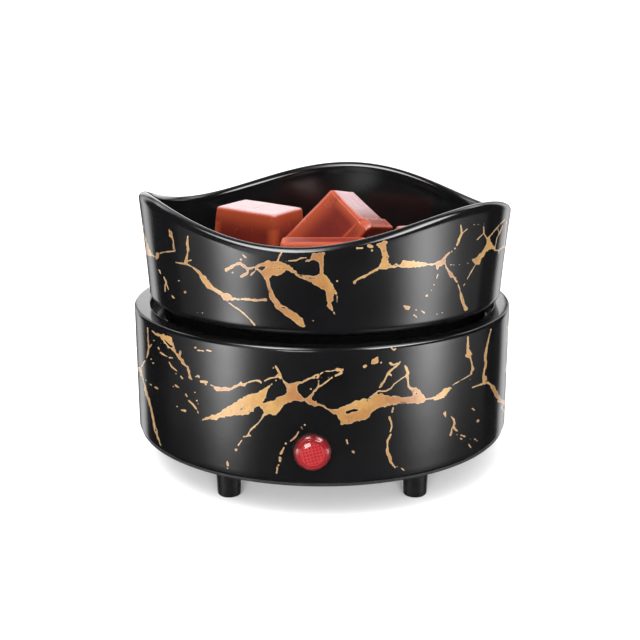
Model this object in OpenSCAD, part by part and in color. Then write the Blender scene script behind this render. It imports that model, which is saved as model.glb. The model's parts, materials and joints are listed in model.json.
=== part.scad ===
// Electric wax melt warmer: a glazed ceramic base with a hot plate in its top,
// a lift-off ceramic melting dish with a three-lobed rim, four wax melts in the
// dish, an illuminated push switch in the front and four screw-on rubber feet.
// Millimetres, +Z up. The origin is on the floor under the centre of the base,
// and the front, with the button, faces -Y.

/* [Base] */
// Outer radius of the ceramic base
base_r = 65; // [64:0.5:67]
// Height of the base's lower edge over the floor
base_z0 = 12.3; // [12:0.1:13]
// Height of the base's upper lip over the floor
base_z1 = 55.1; // [54.5:0.1:55.3]
// Thickness of the ceramic wall
base_wall = 4.3; // [4:0.1:4.5]
// Radius of the recess in the top that the dish drops into
recess_r = 59.2; // [58.5:0.1:59.5]

/* [Hot plate] */
// Height of the plate's top face, which the dish stands on
plate_z = 50; // [50:0.1:50.5]
// Radius of the plate's flange
plate_r = 52.5; // [51:0.5:54]
// Length of the heater block
heater_l = 35; // [30:1:36]
// Width of the heater block
heater_w = 21; // [18:1:22]

/* [Dish] */
// Outer radius of the dish at its rim
dish_rim_r = 63; // [62:0.5:64]
// Outer radius of the dish at its lower edge
dish_low_r = 60.7; // [60:0.1:61]
// Mean height of the rim's crest over the floor
rim_z = 89.2; // [86:0.2:92]
// Height of the rim's wave over and under its mean
rim_wave = 4.73; // [0:0.1:6]
// How much further the rim rises toward the back
rear_rise = 0.9; // [0:0.1:1]
// Direction of the first high lobe
rim_turn = 79.7; // [0:0.1:119]
// Thickness of the rim
rim_t = 4.2; // [3.6:0.1:4.8]
// Sideways offset of the dish on the plate
dish_dx = 1; // [0:0.1:1.5]

/* [Button] */
// Radius of the red lens
lens_r = 5.65; // [5.2:0.05:5.65]
// How far the button can be pressed
button_travel = 2; // [1:0.1:2]
// Sideways place of the button
button_x = -3; // [-5:0.5:5]
// Height of the button's centre over the floor
button_z = 22.6; // [22.6:0.1:24]

/* [Feet] */
// Sideways distance from the centre to each foot
foot_x = 30; // [28:0.5:31]
// Front-to-back distance from the centre to each foot
foot_y = 44.5; // [42:0.5:44.5]
// Radius of a foot where it meets the floor
foot_r0 = 3.9; // [3.6:0.05:4]
// Radius of a foot at its top
foot_r1 = 4.45; // [4.1:0.05:4.5]

/* [Cord gland] */
// Radius of the hole that the cord goes through
cord_hole_r = 3; // [2.5:0.1:3.4]

/* [Hidden] */
$fn = 96;
eps = 0.01;
shell_r = base_r - base_wall;      // inner radius of the base
shelf_z1 = plate_z - 2;            // top of the shelf that carries the plate
shelf_z0 = shelf_z1 - 3.5;         // underside of the shelf
shelf_hole = 47;                   // radius of the hole in the shelf
cover_z0 = base_z0 + 0.7;          // underside of the bottom cover
cover_rim_z = base_z0 - 1.3;       // underside of the cover's rim
cover_z1 = cover_z0 + 2;           // top of the bottom cover
plate_z0 = plate_z - 3.4;          // underside of the plate's web
floor_z = plate_z + 7;             // inner floor of the dish
front_y = -base_r - 3;             // foremost point of the lens
rear_y = base_r + 3;               // rearmost point of the gland
heater_z1 = plate_z - 5.2;         // top of the heater block
heater_z0 = heater_z1 - 5;         // underside of the heater block
feet = [[-foot_x, -foot_y], [foot_x, -foot_y], [-foot_x, foot_y], [foot_x, foot_y]];
standoff_at = [for (a = [30, 150, 270]) [34 * cos(a), 34 * sin(a)]];
clamp_x = 23.5;                    // clamp screw distance from the centre

// ---------------------------------------------------------------- helpers

// Points on an arc in the plane, from angle a0 to a1 in n steps
function arc(cx, cy, r, a0, a1, n) =
    [for (i = [0:n]) [cx + r * cos(a0 + (a1 - a0) * i / n), cy + r * sin(a0 + (a1 - a0) * i / n)]];

// A cylinder along +Y from y0 to y1 at (x, z)
module ycyl(x, z, r, y0, y1) {
    translate([x, y0, z]) rotate([-90, 0, 0]) cylinder(r = r, h = y1 - y0);
}

function unit(v) = v / norm(v);
function smooth(t) = let (s = min(1, max(0, t))) s * s * (3 - 2 * s);

// Catmull-Rom point between p[1] and p[2]
function cr(a, b, c, d, t) =
    0.5 * ((2 * b) + (c - a) * t + (2 * a - 5 * b + 4 * c - d) * t * t + (3 * b - a - 3 * c + d) * t * t * t);
function route(p, n) = concat(
    [for (i = [0:len(p) - 2]) for (k = [0:n - 1])
        cr(p[max(0, i - 1)], p[i], p[i + 1], p[min(len(p) - 1, i + 2)], k / n)],
    [p[len(p) - 1]]);

// A round wire swept along a list of points, none of whose runs is parallel to up
module sweep(pts, r, sides, up = [0, 0, 1]) {
    n = len(pts);
    rings = [for (i = [0:n - 1])
        let (t = unit(pts[min(n - 1, i + 1)] - pts[max(0, i - 1)]),
             u = unit(cross(t, up)), v = cross(t, u))
        [for (k = [0:sides - 1]) pts[i] + r * (cos(360 * k / sides) * u + sin(360 * k / sides) * v)]];
    polyhedron(
        points = [for (g = rings) for (q = g) q],
        faces = concat(
            [[for (k = [0:sides - 1]) k]],
            [for (i = [0:n - 2]) for (k = [0:sides - 1])
                [i * sides + k, (i + 1) * sides + k, (i + 1) * sides + (k + 1) % sides, i * sides + (k + 1) % sides]],
            [[for (k = [sides - 1:-1:0]) (n - 1) * sides + k]]));
}

module lead(pts) { sweep(route(pts, 3), 0.9, 8); }

// Pan-head screw with its head's underside at z = 0 and its shank going up
module screw(head_r, head_h, shank_r, shank_h) {
    difference() {
        union() {
            translate([0, 0, -head_h]) cylinder(r = head_r, h = head_h);
            cylinder(r = shank_r, h = shank_h);
        }
        for (a = [0, 90]) rotate(a)
            translate([-head_r * 0.6, -0.2, -head_h - eps]) cube([head_r * 1.2, 0.4, head_h * 0.5]);
    }
}

// ---------------------------------------------------------------- base

module base_shell() {
    color([0.03, 0.03, 0.03])
    difference() {
        union() {
            rotate_extrude() polygon(concat(
                [[shell_r, base_z0]],
                arc(base_r - 0.8, base_z0 + 0.8, 0.8, -90, 0, 5),
                arc(base_r - 1.1, base_z1 - 1.1, 1.1, 0, 90, 5),
                arc(recess_r + 1.1, base_z1 - 0.8, 0.8, 90, 180, 4),
                [[recess_r - 0.6, shelf_z1], [shelf_hole, shelf_z1], [shelf_hole, shelf_z0]],
                arc(shell_r - 3, shelf_z0 - 3, 3, 90, 0, 4)));
            for (p = feet) translate([p[0], p[1], cover_z1]) cylinder(r = 5, h = shelf_z0 - cover_z1 + 1);
        }
        // screw holes in the four posts
        for (p = feet) translate([p[0], p[1], cover_z1 - 1]) cylinder(r = 1.1, h = 14);
        // switch hole in the front and gland hole in the rear
        ycyl(button_x, button_z, 6.25, -base_r - 1, -shell_r + 2);
        ycyl(0, button_z, 5.5, shell_r - 2, base_r + 1);
    }
}

module bottom_cover() {
    color([0.08, 0.08, 0.08])
    difference() {
        union() {
            translate([0, 0, cover_z0]) cylinder(r = shell_r - 0.3, h = cover_z1 - cover_z0 - eps);
            // rim that closes the foot of the wall, with a fine shadow gap over it
            rotate_extrude() polygon(concat(
                [[shell_r - 2.3, cover_rim_z]],
                arc(base_r - 1.1, cover_rim_z + 0.5, 0.5, -90, 0, 4),
                [[base_r - 0.6, base_z0 - 0.15], [shell_r - 0.3, base_z0 - 0.15],
                 [shell_r - 0.3, cover_z0 + 0.5], [shell_r - 2.3, cover_z0 + 0.5]]));
        }
        for (p = feet) translate([p[0], p[1], cover_z0 - 1]) cylinder(r = 1.5, h = 4);
        // ring of radial vent slots
        for (a = [15:30:345]) rotate(a) translate([0, 0, cover_z0 - 1]) linear_extrude(4) {
            translate([22, -1.25]) square([10, 2.5]);
            translate([22, 0]) circle(r = 1.25);
            translate([32, 0]) circle(r = 1.25);
        }
    }
}

// ---------------------------------------------------------------- heating

module hot_plate() {
    color([0.75, 0.75, 0.76])
    difference() {
        union() {
            rotate_extrude() polygon([[0, plate_z0], [43, plate_z0], [43, plate_z - 6], [45.5, plate_z - 6],
                [45.5, plate_z - 1.2], [plate_r, plate_z - 1.2], [plate_r, plate_z - 0.5],
                [plate_r - 0.5, plate_z], [0, plate_z]]);
            // pad for the heater and bosses for its clamp
            translate([-heater_l / 2 - 1, -heater_w / 2 - 1, heater_z1])
                cube([heater_l + 2, heater_w + 2, plate_z0 - heater_z1 + 1]);
            for (s = [-1, 1]) translate([s * clamp_x, 0, heater_z0])
                cylinder(r = 4, h = plate_z0 - heater_z0 + 1);
            // boss for the fuse strap
            translate([15.5, 20, plate_z0 - 4]) cylinder(r = 3, h = 5);
        }
        for (s = [-1, 1]) translate([s * clamp_x, 0, heater_z0 - 1]) cylinder(r = 1.4, h = 8);
        translate([15.5, 20, plate_z0 - 5]) cylinder(r = 1.1, h = 6);
    }
}

module plate_seal() {
    color([0.35, 0.35, 0.36])
    translate([0, 0, shelf_z1]) difference() {
        cylinder(r = plate_r - 0.5, h = 0.8);
        translate([0, 0, -1]) cylinder(r = shelf_hole + 0.5, h = 3);
    }
}

module ptc_heater() {
    color([0.86, 0.84, 0.78])
    translate([-heater_l / 2, -heater_w / 2, heater_z0]) cube([heater_l, heater_w, heater_z1 - heater_z0]);
}

module heater_clamp() {
    color([0.6, 0.6, 0.62])
    translate([0, 0, heater_z0 - 1.2]) difference() {
        linear_extrude(1.2) {
            translate([-clamp_x, -6]) square([2 * clamp_x, 12]);
            for (s = [-1, 1]) translate([s * clamp_x, 0]) circle(r = 6);
        }
        for (s = [-1, 1]) translate([s * clamp_x, 0, -1]) cylinder(r = 1.6, h = 4);
    }
}

module clamp_screws() {
    color([0.7, 0.7, 0.72])
    for (s = [-1, 1]) translate([s * clamp_x, 0, heater_z0 - 1.2]) screw(2.8, 1.5, 1.4, 7.5);
}

module thermal_fuse() {
    color([0.8, 0.78, 0.7])
    translate([0, 20, plate_z0 - 2]) rotate([0, 90, 0]) {
        translate([0, 0, -6]) cylinder(r = 2, h = 12);
        translate([0, 0, -9]) cylinder(r = 0.5, h = 18);
    }
}

module fuse_strap() {
    color([0.6, 0.6, 0.62])
    difference() {
        translate([-3, 17.4, plate_z0 - 4.6]) cube([6, 5.2, 4.6]);
        translate([-4, 17.9, plate_z0 - 2]) cube([8, 4.2, 3]);
        translate([-4, 20, plate_z0 - 2]) rotate([0, 90, 0]) cylinder(r = 2.1, h = 8);
    }
    color([0.6, 0.6, 0.62])
    difference() {
        translate([3 - eps, 17.4, plate_z0 - 4.6]) cube([15.5, 5.2, 0.6]);
        // hole for the strap's screw
        translate([15.5, 20, plate_z0 - 6]) cylinder(r = 1.3, h = 4);
    }
}

module fuse_strap_screw() {
    color([0.7, 0.7, 0.72])
    translate([15.5, 20, plate_z0 - 4.6]) screw(2.2, 1.2, 1.1, 5);
}

module insulation_disc() {
    color([0.9, 0.88, 0.82])
    difference() {
        translate([0, 0, heater_z0 - 6.8]) cylinder(r = 39, h = 4);
        for (p = standoff_at) translate([p[0], p[1], heater_z0 - 8]) cylinder(r = 2.9, h = 8);
    }
}

module heat_shield() {
    color([0.66, 0.66, 0.68])
    difference() {
        translate([0, 0, heater_z0 - 7.8]) cylinder(r = 41, h = 1);
        for (p = standoff_at) translate([p[0], p[1], heater_z0 - 9]) cylinder(r = 1.6, h = 4);
    }
}

module shield_standoffs() {
    color([0.78, 0.66, 0.35])
    for (p = standoff_at) translate([p[0], p[1], heater_z0 - 6.8]) difference() {
        cylinder(r = 2.7, h = plate_z0 - heater_z0 + 6.8);
        translate([0, 0, -1]) cylinder(r = 1.4, h = 9);
    }
}

module shield_screws() {
    color([0.7, 0.7, 0.72])
    for (p = standoff_at) translate([p[0], p[1], heater_z0 - 7.8]) screw(2.8, 1.5, 1.4, 7.5);
}

// ---------------------------------------------------------------- feet

module foot(p) {
    color([0.05, 0.05, 0.05])
    translate([p[0], p[1], 0]) difference() {
        rotate_extrude() polygon(concat(
            [[1.2, 0]],
            arc(foot_r0 - 1, 1, 1, -90, 0, 5),
            [[foot_r1, cover_z0 - 0.5], [foot_r1 - 0.4, cover_z0], [1.2, cover_z0]]));
        translate([0, 0, -1]) cylinder(r = 2.15, h = 4);
    }
}

module foot_front_left() { foot(feet[0]); }
module foot_front_right() { foot(feet[1]); }
module foot_rear_left() { foot(feet[2]); }
module foot_rear_right() { foot(feet[3]); }

module foot_screws() {
    color([0.7, 0.7, 0.72])
    for (p = feet) translate([p[0], p[1], 3]) screw(2, 1.3, 1.1, 24);
}

// ---------------------------------------------------------------- cord inlet

module cord_gland() {
    color([0.06, 0.06, 0.06])
    difference() {
        union() {
            difference() {
                ycyl(0, button_z, 7.4, shell_r, base_r + 1.6);
                cylinder(r = base_r, h = 60);
            }
            translate([0, base_r + 1.6 - eps, button_z]) rotate([-90, 0, 0])
                cylinder(r1 = 6.4, r2 = 5, h = rear_y - base_r - 1.6 + eps);
            ycyl(0, button_z, 5.4, rear_y - 15, base_r + 1);
        }
        ycyl(0, button_z, cord_hole_r, rear_y - 16, rear_y + 1);
    }
}

module gland_nut() {
    color([0.1, 0.1, 0.1])
    difference() {
        translate([0, shell_r - 5.5, button_z]) rotate([-90, 0, 0]) cylinder(r = 8, h = 4.6, $fn = 6);
        ycyl(0, button_z, 5.4, shell_r - 7, shell_r + 1);
    }
}

module terminal_block() {
    color([0.88, 0.86, 0.8])
    difference() {
        translate([-12, 34, cover_z1]) cube([24, 11, 10]);
        for (x = [-6, 6]) {
            ycyl(x, 20, 1.6, 33, 46);
            translate([x, 39.5, 21]) cylinder(r = 2, h = 6);
        }
    }
}

module terminal_screws() {
    color([0.78, 0.62, 0.3])
    for (x = [-6, 6]) translate([x, 39.5, 21.6]) difference() {
        cylinder(r = 1.9, h = 2.4);
        translate([-3, -0.3, 1.6]) cube([6, 0.6, 2]);
    }
}

// ---------------------------------------------------------------- switch

module switch_sleeve() {
    color([0.04, 0.04, 0.04])
    difference() {
        union() {
            ycyl(button_x, button_z, 6.2, -base_r + 0.1, -shell_r + 2);
            ycyl(button_x, button_z, 7.4, -shell_r + 1.4, -shell_r + 3);
        }
        ycyl(button_x, button_z, 5.75, -base_r - 1, -shell_r + 4);
    }
}

module switch_body() {
    color([0.07, 0.07, 0.07])
    difference() {
        translate([button_x - 7, -shell_r + 3, button_z - 7]) cube([14, 18, 14]);
        ycyl(button_x, button_z, 5.25, -shell_r + 2, -shell_r + 16);
    }
}

module switch_contacts() {
    color([0.78, 0.62, 0.3])
    for (s = [-1, 1]) translate([button_x + s * 3.5 - 0.4, -shell_r + 21, button_z - 2.4]) cube([0.8, 6, 4.8]);
}

// Domed red cap, hollow behind, sliding in the sleeve
module button_lens() {
    color([0.75, 0.05, 0.06, 0.8])
    translate([button_x, -base_r - 0.6, button_z]) rotate([90, 0, 0]) rotate_extrude()
        polygon(concat(
            [[lens_r - 0.9, -4.2], [lens_r, -4.2], [lens_r, 0]],
            [for (i = [1:9]) [lens_r * cos(10 * i), (3 - 0.6) * sin(10 * i)]],
            [[0, 1.4]],
            [for (i = [8:-1:0]) [(lens_r - 0.9) * cos(10 * i), 1.4 * sin(10 * i)]]));
}

// Faceted disc behind the dome: a round plate with a raised square grid
module button_diffuser() {
    color([0.9, 0.15, 0.12])
    translate([button_x, -base_r - 0.7, button_z]) rotate([90, 0, 0]) {
        translate([0, 0, -1]) cylinder(r = 4.6, h = 0.8);
        intersection() {
            translate([0, 0, -0.6]) cylinder(r = 3.4, h = 0.8);
            union() {
                for (i = [-3:3]) translate([i - 0.18, -4, -0.6]) cube([0.36, 8, 0.8]);
                for (i = [-3:3]) translate([-4, i - 0.18, -0.6]) cube([8, 0.36, 0.8]);
            }
        }
    }
}

module button_plunger() {
    color([0.92, 0.92, 0.9])
    difference() {
        ycyl(button_x, button_z, 5.05, -base_r + 3.6, -base_r + 16.8);
        ycyl(button_x, button_z, 3.9, -base_r + 8, -base_r + 18);
        ycyl(button_x, button_z, 1.7, -base_r + 3, -base_r + 6);
    }
}

module button_lamp() {
    color([1, 0.6, 0.4, 0.6])
    translate([button_x, -base_r + 6, button_z]) rotate([90, 0, 0]) rotate_extrude()
        polygon(concat([[0, 0], [1.6, 0]], arc(0, 4.2, 1.6, 0, 90, 6)));
}

module button_spring() {
    y0 = -base_r + 8;
    y1 = -shell_r + 16;
    r = 3.2;
    w = 0.3;
    turns = 6;
    n = turns * 12;
    color([0.7, 0.7, 0.72])
    sweep([for (i = [0:n])
        [button_x + r * cos(30 * i), y0 + w + 0.05 + (y1 - y0 - 2 * w - 0.1) * i / n, button_z + r * sin(30 * i)]], w, 6, [0, 1, 0]);
}

// ---------------------------------------------------------------- wiring

module live_lead() {
    color([0.35, 0.2, 0.1])
    lead([[-6, 36, 20], [-6, 31, 20], [-10, 18, 18], [-9, 0, 17.5], [-3, -18, 19], [0.5, -28, 22], [0.5, -33.6, 22.6]]);
}

module neutral_lead() {
    color([0.1, 0.25, 0.6])
    lead([[6, 36, 20], [6, 31, 20], [18, 28, 18.5], [36, 22, 22], [44.5, 8, 30], [44, -6, 38], [38, -10, 41],
        [27, -9, 42], [18, -6, 42.3]]);
}

module switched_lead() {
    color([0.05, 0.05, 0.05])
    lead([[-6.5, -33.6, 22.6], [-6.5, -29, 22.4], [-16, -24, 22], [-34, -20, 25], [-44, -10, 32], [-44.3, 4, 39],
        [-40.5, 15, 42], [-33, 23, 43.3], [-22, 22.5, 44], [-13, 20, 44.6], [-9.3, 20, 44.6]]);
}

module heater_lead() {
    color([0.75, 0.1, 0.08])
    lead([[9.3, 20, 44.6], [10.4, 19, 44.5], [10.6, 16, 43.6], [13, 13.8, 42.6], [18, 13.4, 42], [21.3, 11, 42],
        [20.6, 7.4, 42.2], [18, 6, 42.3]]);
}

// ---------------------------------------------------------------- dish

// Profile of the dish: [radius, height], from the centre of its underside,
// round the foot ring, up the outside, over the rim and down to the inner floor
lip_r = rim_t / 2;
dish_profile = concat(
    [[50, plate_z + 1.5], [50.6, plate_z], [54.6, plate_z], [55.5, plate_z + 0.4], [55.8, plate_z + 1.3],
     [55.9, plate_z + 5.4], [56.3, plate_z + 6.6]],
    arc(dish_low_r - 3, plate_z + 10.2, 3, -90, 0, 4),
    [for (i = [1:7]) let (s = i / 7)
        [dish_low_r + (dish_rim_r - dish_low_r) * pow(s, 1.2), plate_z + 10.2 + (rim_z - lip_r - plate_z - 10.2) * s]],
    [for (i = [1:7]) let (a = 180 * i / 8)
        [dish_rim_r - lip_r + lip_r * cos(a), rim_z - lip_r + lip_r * sin(a)]],
    [for (i = [0:6]) let (s = i / 6)
        [dish_rim_r - rim_t - 2.2 * pow(s, 0.9), rim_z - lip_r + (floor_z + 10 - rim_z + lip_r) * s]],
    [for (i = [1:6]) let (a = -15 * i) [46.6 + 10 * cos(a), floor_z + 10 + 10 * sin(a)]]);

// How much of the rim's wave a height takes
function wave_part(z) = smooth((z - (plate_z + 12)) / (rim_z - lip_r - plate_z - 12));
function rim_lift(a) = rim_wave * cos(3 * (a - rim_turn)) + rear_rise * pow((1 + sin(a)) / 2, 2);

module dish() {
    m = 72;
    n = len(dish_profile);
    color([0.03, 0.03, 0.03])
    polyhedron(
        points = concat(
            [for (p = dish_profile) for (k = [0:m - 1]) let (a = 360 * k / m)
                [dish_dx + p[0] * cos(a), p[0] * sin(a), p[1] + rim_lift(a) * wave_part(p[1])]],
            [[dish_dx, 0, plate_z + 1.5], [dish_dx, 0, floor_z]]),
        faces = concat(
            [for (k = [0:m - 1]) [n * m, k, (k + 1) % m]],
            [for (i = [0:n - 2]) for (k = [0:m - 1])
                [i * m + k, (i + 1) * m + k, i * m + (k + 1) % m]],
            [for (i = [0:n - 2]) for (k = [0:m - 1])
                [i * m + (k + 1) % m, (i + 1) * m + k, (i + 1) * m + (k + 1) % m]],
            [for (k = [0:m - 1]) [n * m + 1, (n - 1) * m + (k + 1) % m, (n - 1) * m + k]]));
}

// ---------------------------------------------------------------- wax

// Eight corner balls of a drafted block: l by w on top, wider below
module block(l, w, z0, z1, grow, r) {
    for (sx = [-1, 1]) for (sy = [-1, 1]) {
        translate([sx * (l / 2 + grow - r), sy * (w / 2 + grow - r), z0 + r]) sphere(r = r, $fn = 20);
        translate([sx * (l / 2 - r), sy * (w / 2 - r), z1 - r]) sphere(r = r, $fn = 20);
    }
}

// A moulded wax melt, narrow end up, with a thin step round its wide end
module melt(l, w, h, step = 1) {
    g = 0.088 * h;
    color([0.58, 0.2, 0.16]) {
        hull() block(l, w, 0, h, g, 1.4);
        if (step > 0) hull() block(l + 2 * g + 2 * step - 0.6, w + 2 * g + 2 * step - 0.6, 0, 4.8, 0.3, 0.9);
    }
}

module wax_melt_left() { translate([-22.3, 16, floor_z + 0.8]) rotate([2, 1.5, -36]) melt(27, 17, 26.5); }
module wax_melt_tilted() { translate([10.27, -7.79, 70.32]) rotate([-14.5, -46, -15.8]) melt(26, 17, 20); }
module wax_melt_front() { translate([0.5, -25, floor_z + 0.2]) melt(28, 11.8, 22.7, 0); }
module wax_melt_right() { translate([32.5, -8, floor_z + 0.2]) rotate([0, 0, 20]) melt(12, 13, 23.6, 0); }

base_shell();
hot_plate();
plate_seal();
ptc_heater();
heater_clamp();
clamp_screws();
thermal_fuse();
fuse_strap();
fuse_strap_screw();
insulation_disc();
heat_shield();
shield_standoffs();
shield_screws();
bottom_cover();
foot_front_left();
foot_front_right();
foot_rear_left();
foot_rear_right();
foot_screws();
cord_gland();
gland_nut();
terminal_block();
terminal_screws();
switch_sleeve();
switch_body();
switch_contacts();
button_lens();
button_diffuser();
button_plunger();
button_lamp();
button_spring();
live_lead();
neutral_lead();
switched_lead();
heater_lead();
dish();
wax_melt_left();
wax_melt_tilted();
wax_melt_front();
wax_melt_right();
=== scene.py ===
import bpy, bmesh, math, json
import numpy as np
from mathutils import Vector, Matrix


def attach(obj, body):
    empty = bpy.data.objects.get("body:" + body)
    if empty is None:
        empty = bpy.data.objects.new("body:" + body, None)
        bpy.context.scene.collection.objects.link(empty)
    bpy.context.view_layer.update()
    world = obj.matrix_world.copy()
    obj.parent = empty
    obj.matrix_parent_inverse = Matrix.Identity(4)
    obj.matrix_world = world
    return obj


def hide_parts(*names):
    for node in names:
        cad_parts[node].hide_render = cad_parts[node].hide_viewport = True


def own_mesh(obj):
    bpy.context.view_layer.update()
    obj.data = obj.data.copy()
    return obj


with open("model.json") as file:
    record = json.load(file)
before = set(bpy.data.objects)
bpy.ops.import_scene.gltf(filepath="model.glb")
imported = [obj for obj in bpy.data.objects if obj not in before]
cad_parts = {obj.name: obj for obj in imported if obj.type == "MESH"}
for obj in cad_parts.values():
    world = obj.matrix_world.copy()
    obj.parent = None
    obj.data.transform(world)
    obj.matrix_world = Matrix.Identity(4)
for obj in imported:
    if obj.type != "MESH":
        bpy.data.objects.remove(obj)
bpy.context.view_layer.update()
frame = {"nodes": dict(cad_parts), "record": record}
nodes = frame["nodes"]
scene = bpy.context.scene
coll = scene.collection
MM = 0.001
SLOT_OF = {s["node"]: s["material_slot"] for s in frame["record"]["subparts"]}

# ------------------------------------------------------------------ camera
CX, CY, CZ = -0.69, -375.4, 147.46      # millimetres
PITCH = 0.263
F_PX = 1101.9
cam_data = bpy.data.cameras.new("camera")
cam_data.sensor_width = 36
cam_data.lens = 61.98
cam_data.clip_start = 0.01
cam_data.clip_end = 100
cam = bpy.data.objects.new("camera", cam_data)
cam.location = (CX * MM, CY * MM, CZ * MM)
cam.rotation_euler = (math.pi / 2 - PITCH, 0, 0)
coll.objects.link(cam)
scene.camera = cam
scene.view_settings.view_transform = "Standard"
scene.view_settings.look = "None"


def proj(p):
    """Photograph pixel of points given in millimetres, shape (..., 3)."""
    x, y, z = p[..., 0] - CX, p[..., 1] - CY, p[..., 2] - CZ
    c, s = math.cos(PITCH), math.sin(PITCH)
    depth = y * c - z * s
    up = z * c + y * s
    return 320 + F_PX * x / depth, 320 - F_PX * up / depth


# ------------------------------------------------------------------ node helpers
def new_mat(name):
    m = bpy.data.materials.new(name)
    m.use_nodes = True
    nt = m.node_tree
    for n in list(nt.nodes):
        nt.nodes.remove(n)
    out = nt.nodes.new("ShaderNodeOutputMaterial")
    b = nt.nodes.new("ShaderNodeBsdfPrincipled")
    nt.links.new(b.outputs[0], out.inputs[0])
    return m, nt, b


def coords(nt):
    for n in nt.nodes:
        if n.type == "TEX_COORD":
            return n.outputs["Object"]
    return nt.nodes.new("ShaderNodeTexCoord").outputs["Object"]


def noise(nt, scale, detail=3.0, rough=0.55, distortion=0.0, vec=None):
    n = nt.nodes.new("ShaderNodeTexNoise")
    n.inputs["Scale"].default_value = scale
    n.inputs["Detail"].default_value = detail
    n.inputs["Roughness"].default_value = rough
    n.inputs["Distortion"].default_value = distortion
    nt.links.new(vec or coords(nt), n.inputs["Vector"])
    return n.outputs["Fac"]


def ramp(nt, fac, stops, mode="LINEAR"):
    r = nt.nodes.new("ShaderNodeValToRGB")
    r.color_ramp.interpolation = mode
    els = r.color_ramp.elements
    while len(els) < len(stops):
        els.new(0.5)
    for e, (pos, c) in zip(els, stops):
        e.position = pos
        e.color = (*c, 1) if hasattr(c, "__len__") else (c, c, c, 1)
    nt.links.new(fac, r.inputs[0])
    return r.outputs[0]


def rng_map(nt, val, a, b, c, d):
    n = nt.nodes.new("ShaderNodeMapRange")
    n.inputs[1].default_value, n.inputs[2].default_value = a, b
    n.inputs[3].default_value, n.inputs[4].default_value = c, d
    nt.links.new(val, n.inputs[0])
    return n.outputs[0]


def mathn(nt, op, a, b=None):
    n = nt.nodes.new("ShaderNodeMath")
    n.operation = op
    for i, v in enumerate((a, b)):
        if v is None:
            continue
        if isinstance(v, (int, float)):
            n.inputs[i].default_value = v
        else:
            nt.links.new(v, n.inputs[i])
    return n.outputs[0]


def mix(nt, fac, a, b):
    n = nt.nodes.new("ShaderNodeMix")
    n.data_type = "RGBA"
    if isinstance(fac, (int, float)):
        n.inputs[0].default_value = fac
    else:
        nt.links.new(fac, n.inputs[0])
    for i, v in ((6, a), (7, b)):
        if isinstance(v, tuple):
            n.inputs[i].default_value = (*v, 1)
        else:
            nt.links.new(v, n.inputs[i])
    return n.outputs[2]


def bump(nt, height, strength, dist, prev=None):
    n = nt.nodes.new("ShaderNodeBump")
    n.inputs["Strength"].default_value = strength
    n.inputs["Distance"].default_value = dist
    nt.links.new(height, n.inputs["Height"])
    if prev is not None:
        nt.links.new(prev, n.inputs["Normal"])
    return n.outputs[0]


def attr(nt, name):
    n = nt.nodes.new("ShaderNodeAttribute")
    n.attribute_name = name
    return n.outputs["Fac"]


def xyz(nt):
    n = nt.nodes.new("ShaderNodeSeparateXYZ")
    nt.links.new(coords(nt), n.inputs[0])
    return n.outputs


def plain(name, c1, c2, cs, r1, r2, rs, bumps=(), metallic=0.0, spec=0.5, ior=1.5, coat=0.0, coat_rough=0.1):
    """A varied surface: two colours and two roughnesses mixed by noise, and layers of bump."""
    m, nt, b = new_mat(name)
    nt.links.new(ramp(nt, noise(nt, cs, 4), [(0.3, c1), (0.7, c2)]), b.inputs["Base Color"])
    nt.links.new(rng_map(nt, noise(nt, rs, 3), 0.3, 0.7, r1, r2), b.inputs["Roughness"])
    prev = None
    for scale, detail, strength, dist in bumps:
        prev = bump(nt, noise(nt, scale, detail), strength, dist, prev)
    if prev is not None:
        nt.links.new(prev, b.inputs["Normal"])
    b.inputs["Metallic"].default_value = metallic
    b.inputs["Specular IOR Level"].default_value = spec
    b.inputs["IOR"].default_value = ior
    if coat:
        b.inputs["Coat Weight"].default_value = coat
        b.inputs["Coat Roughness"].default_value = coat_rough
    return m


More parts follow.
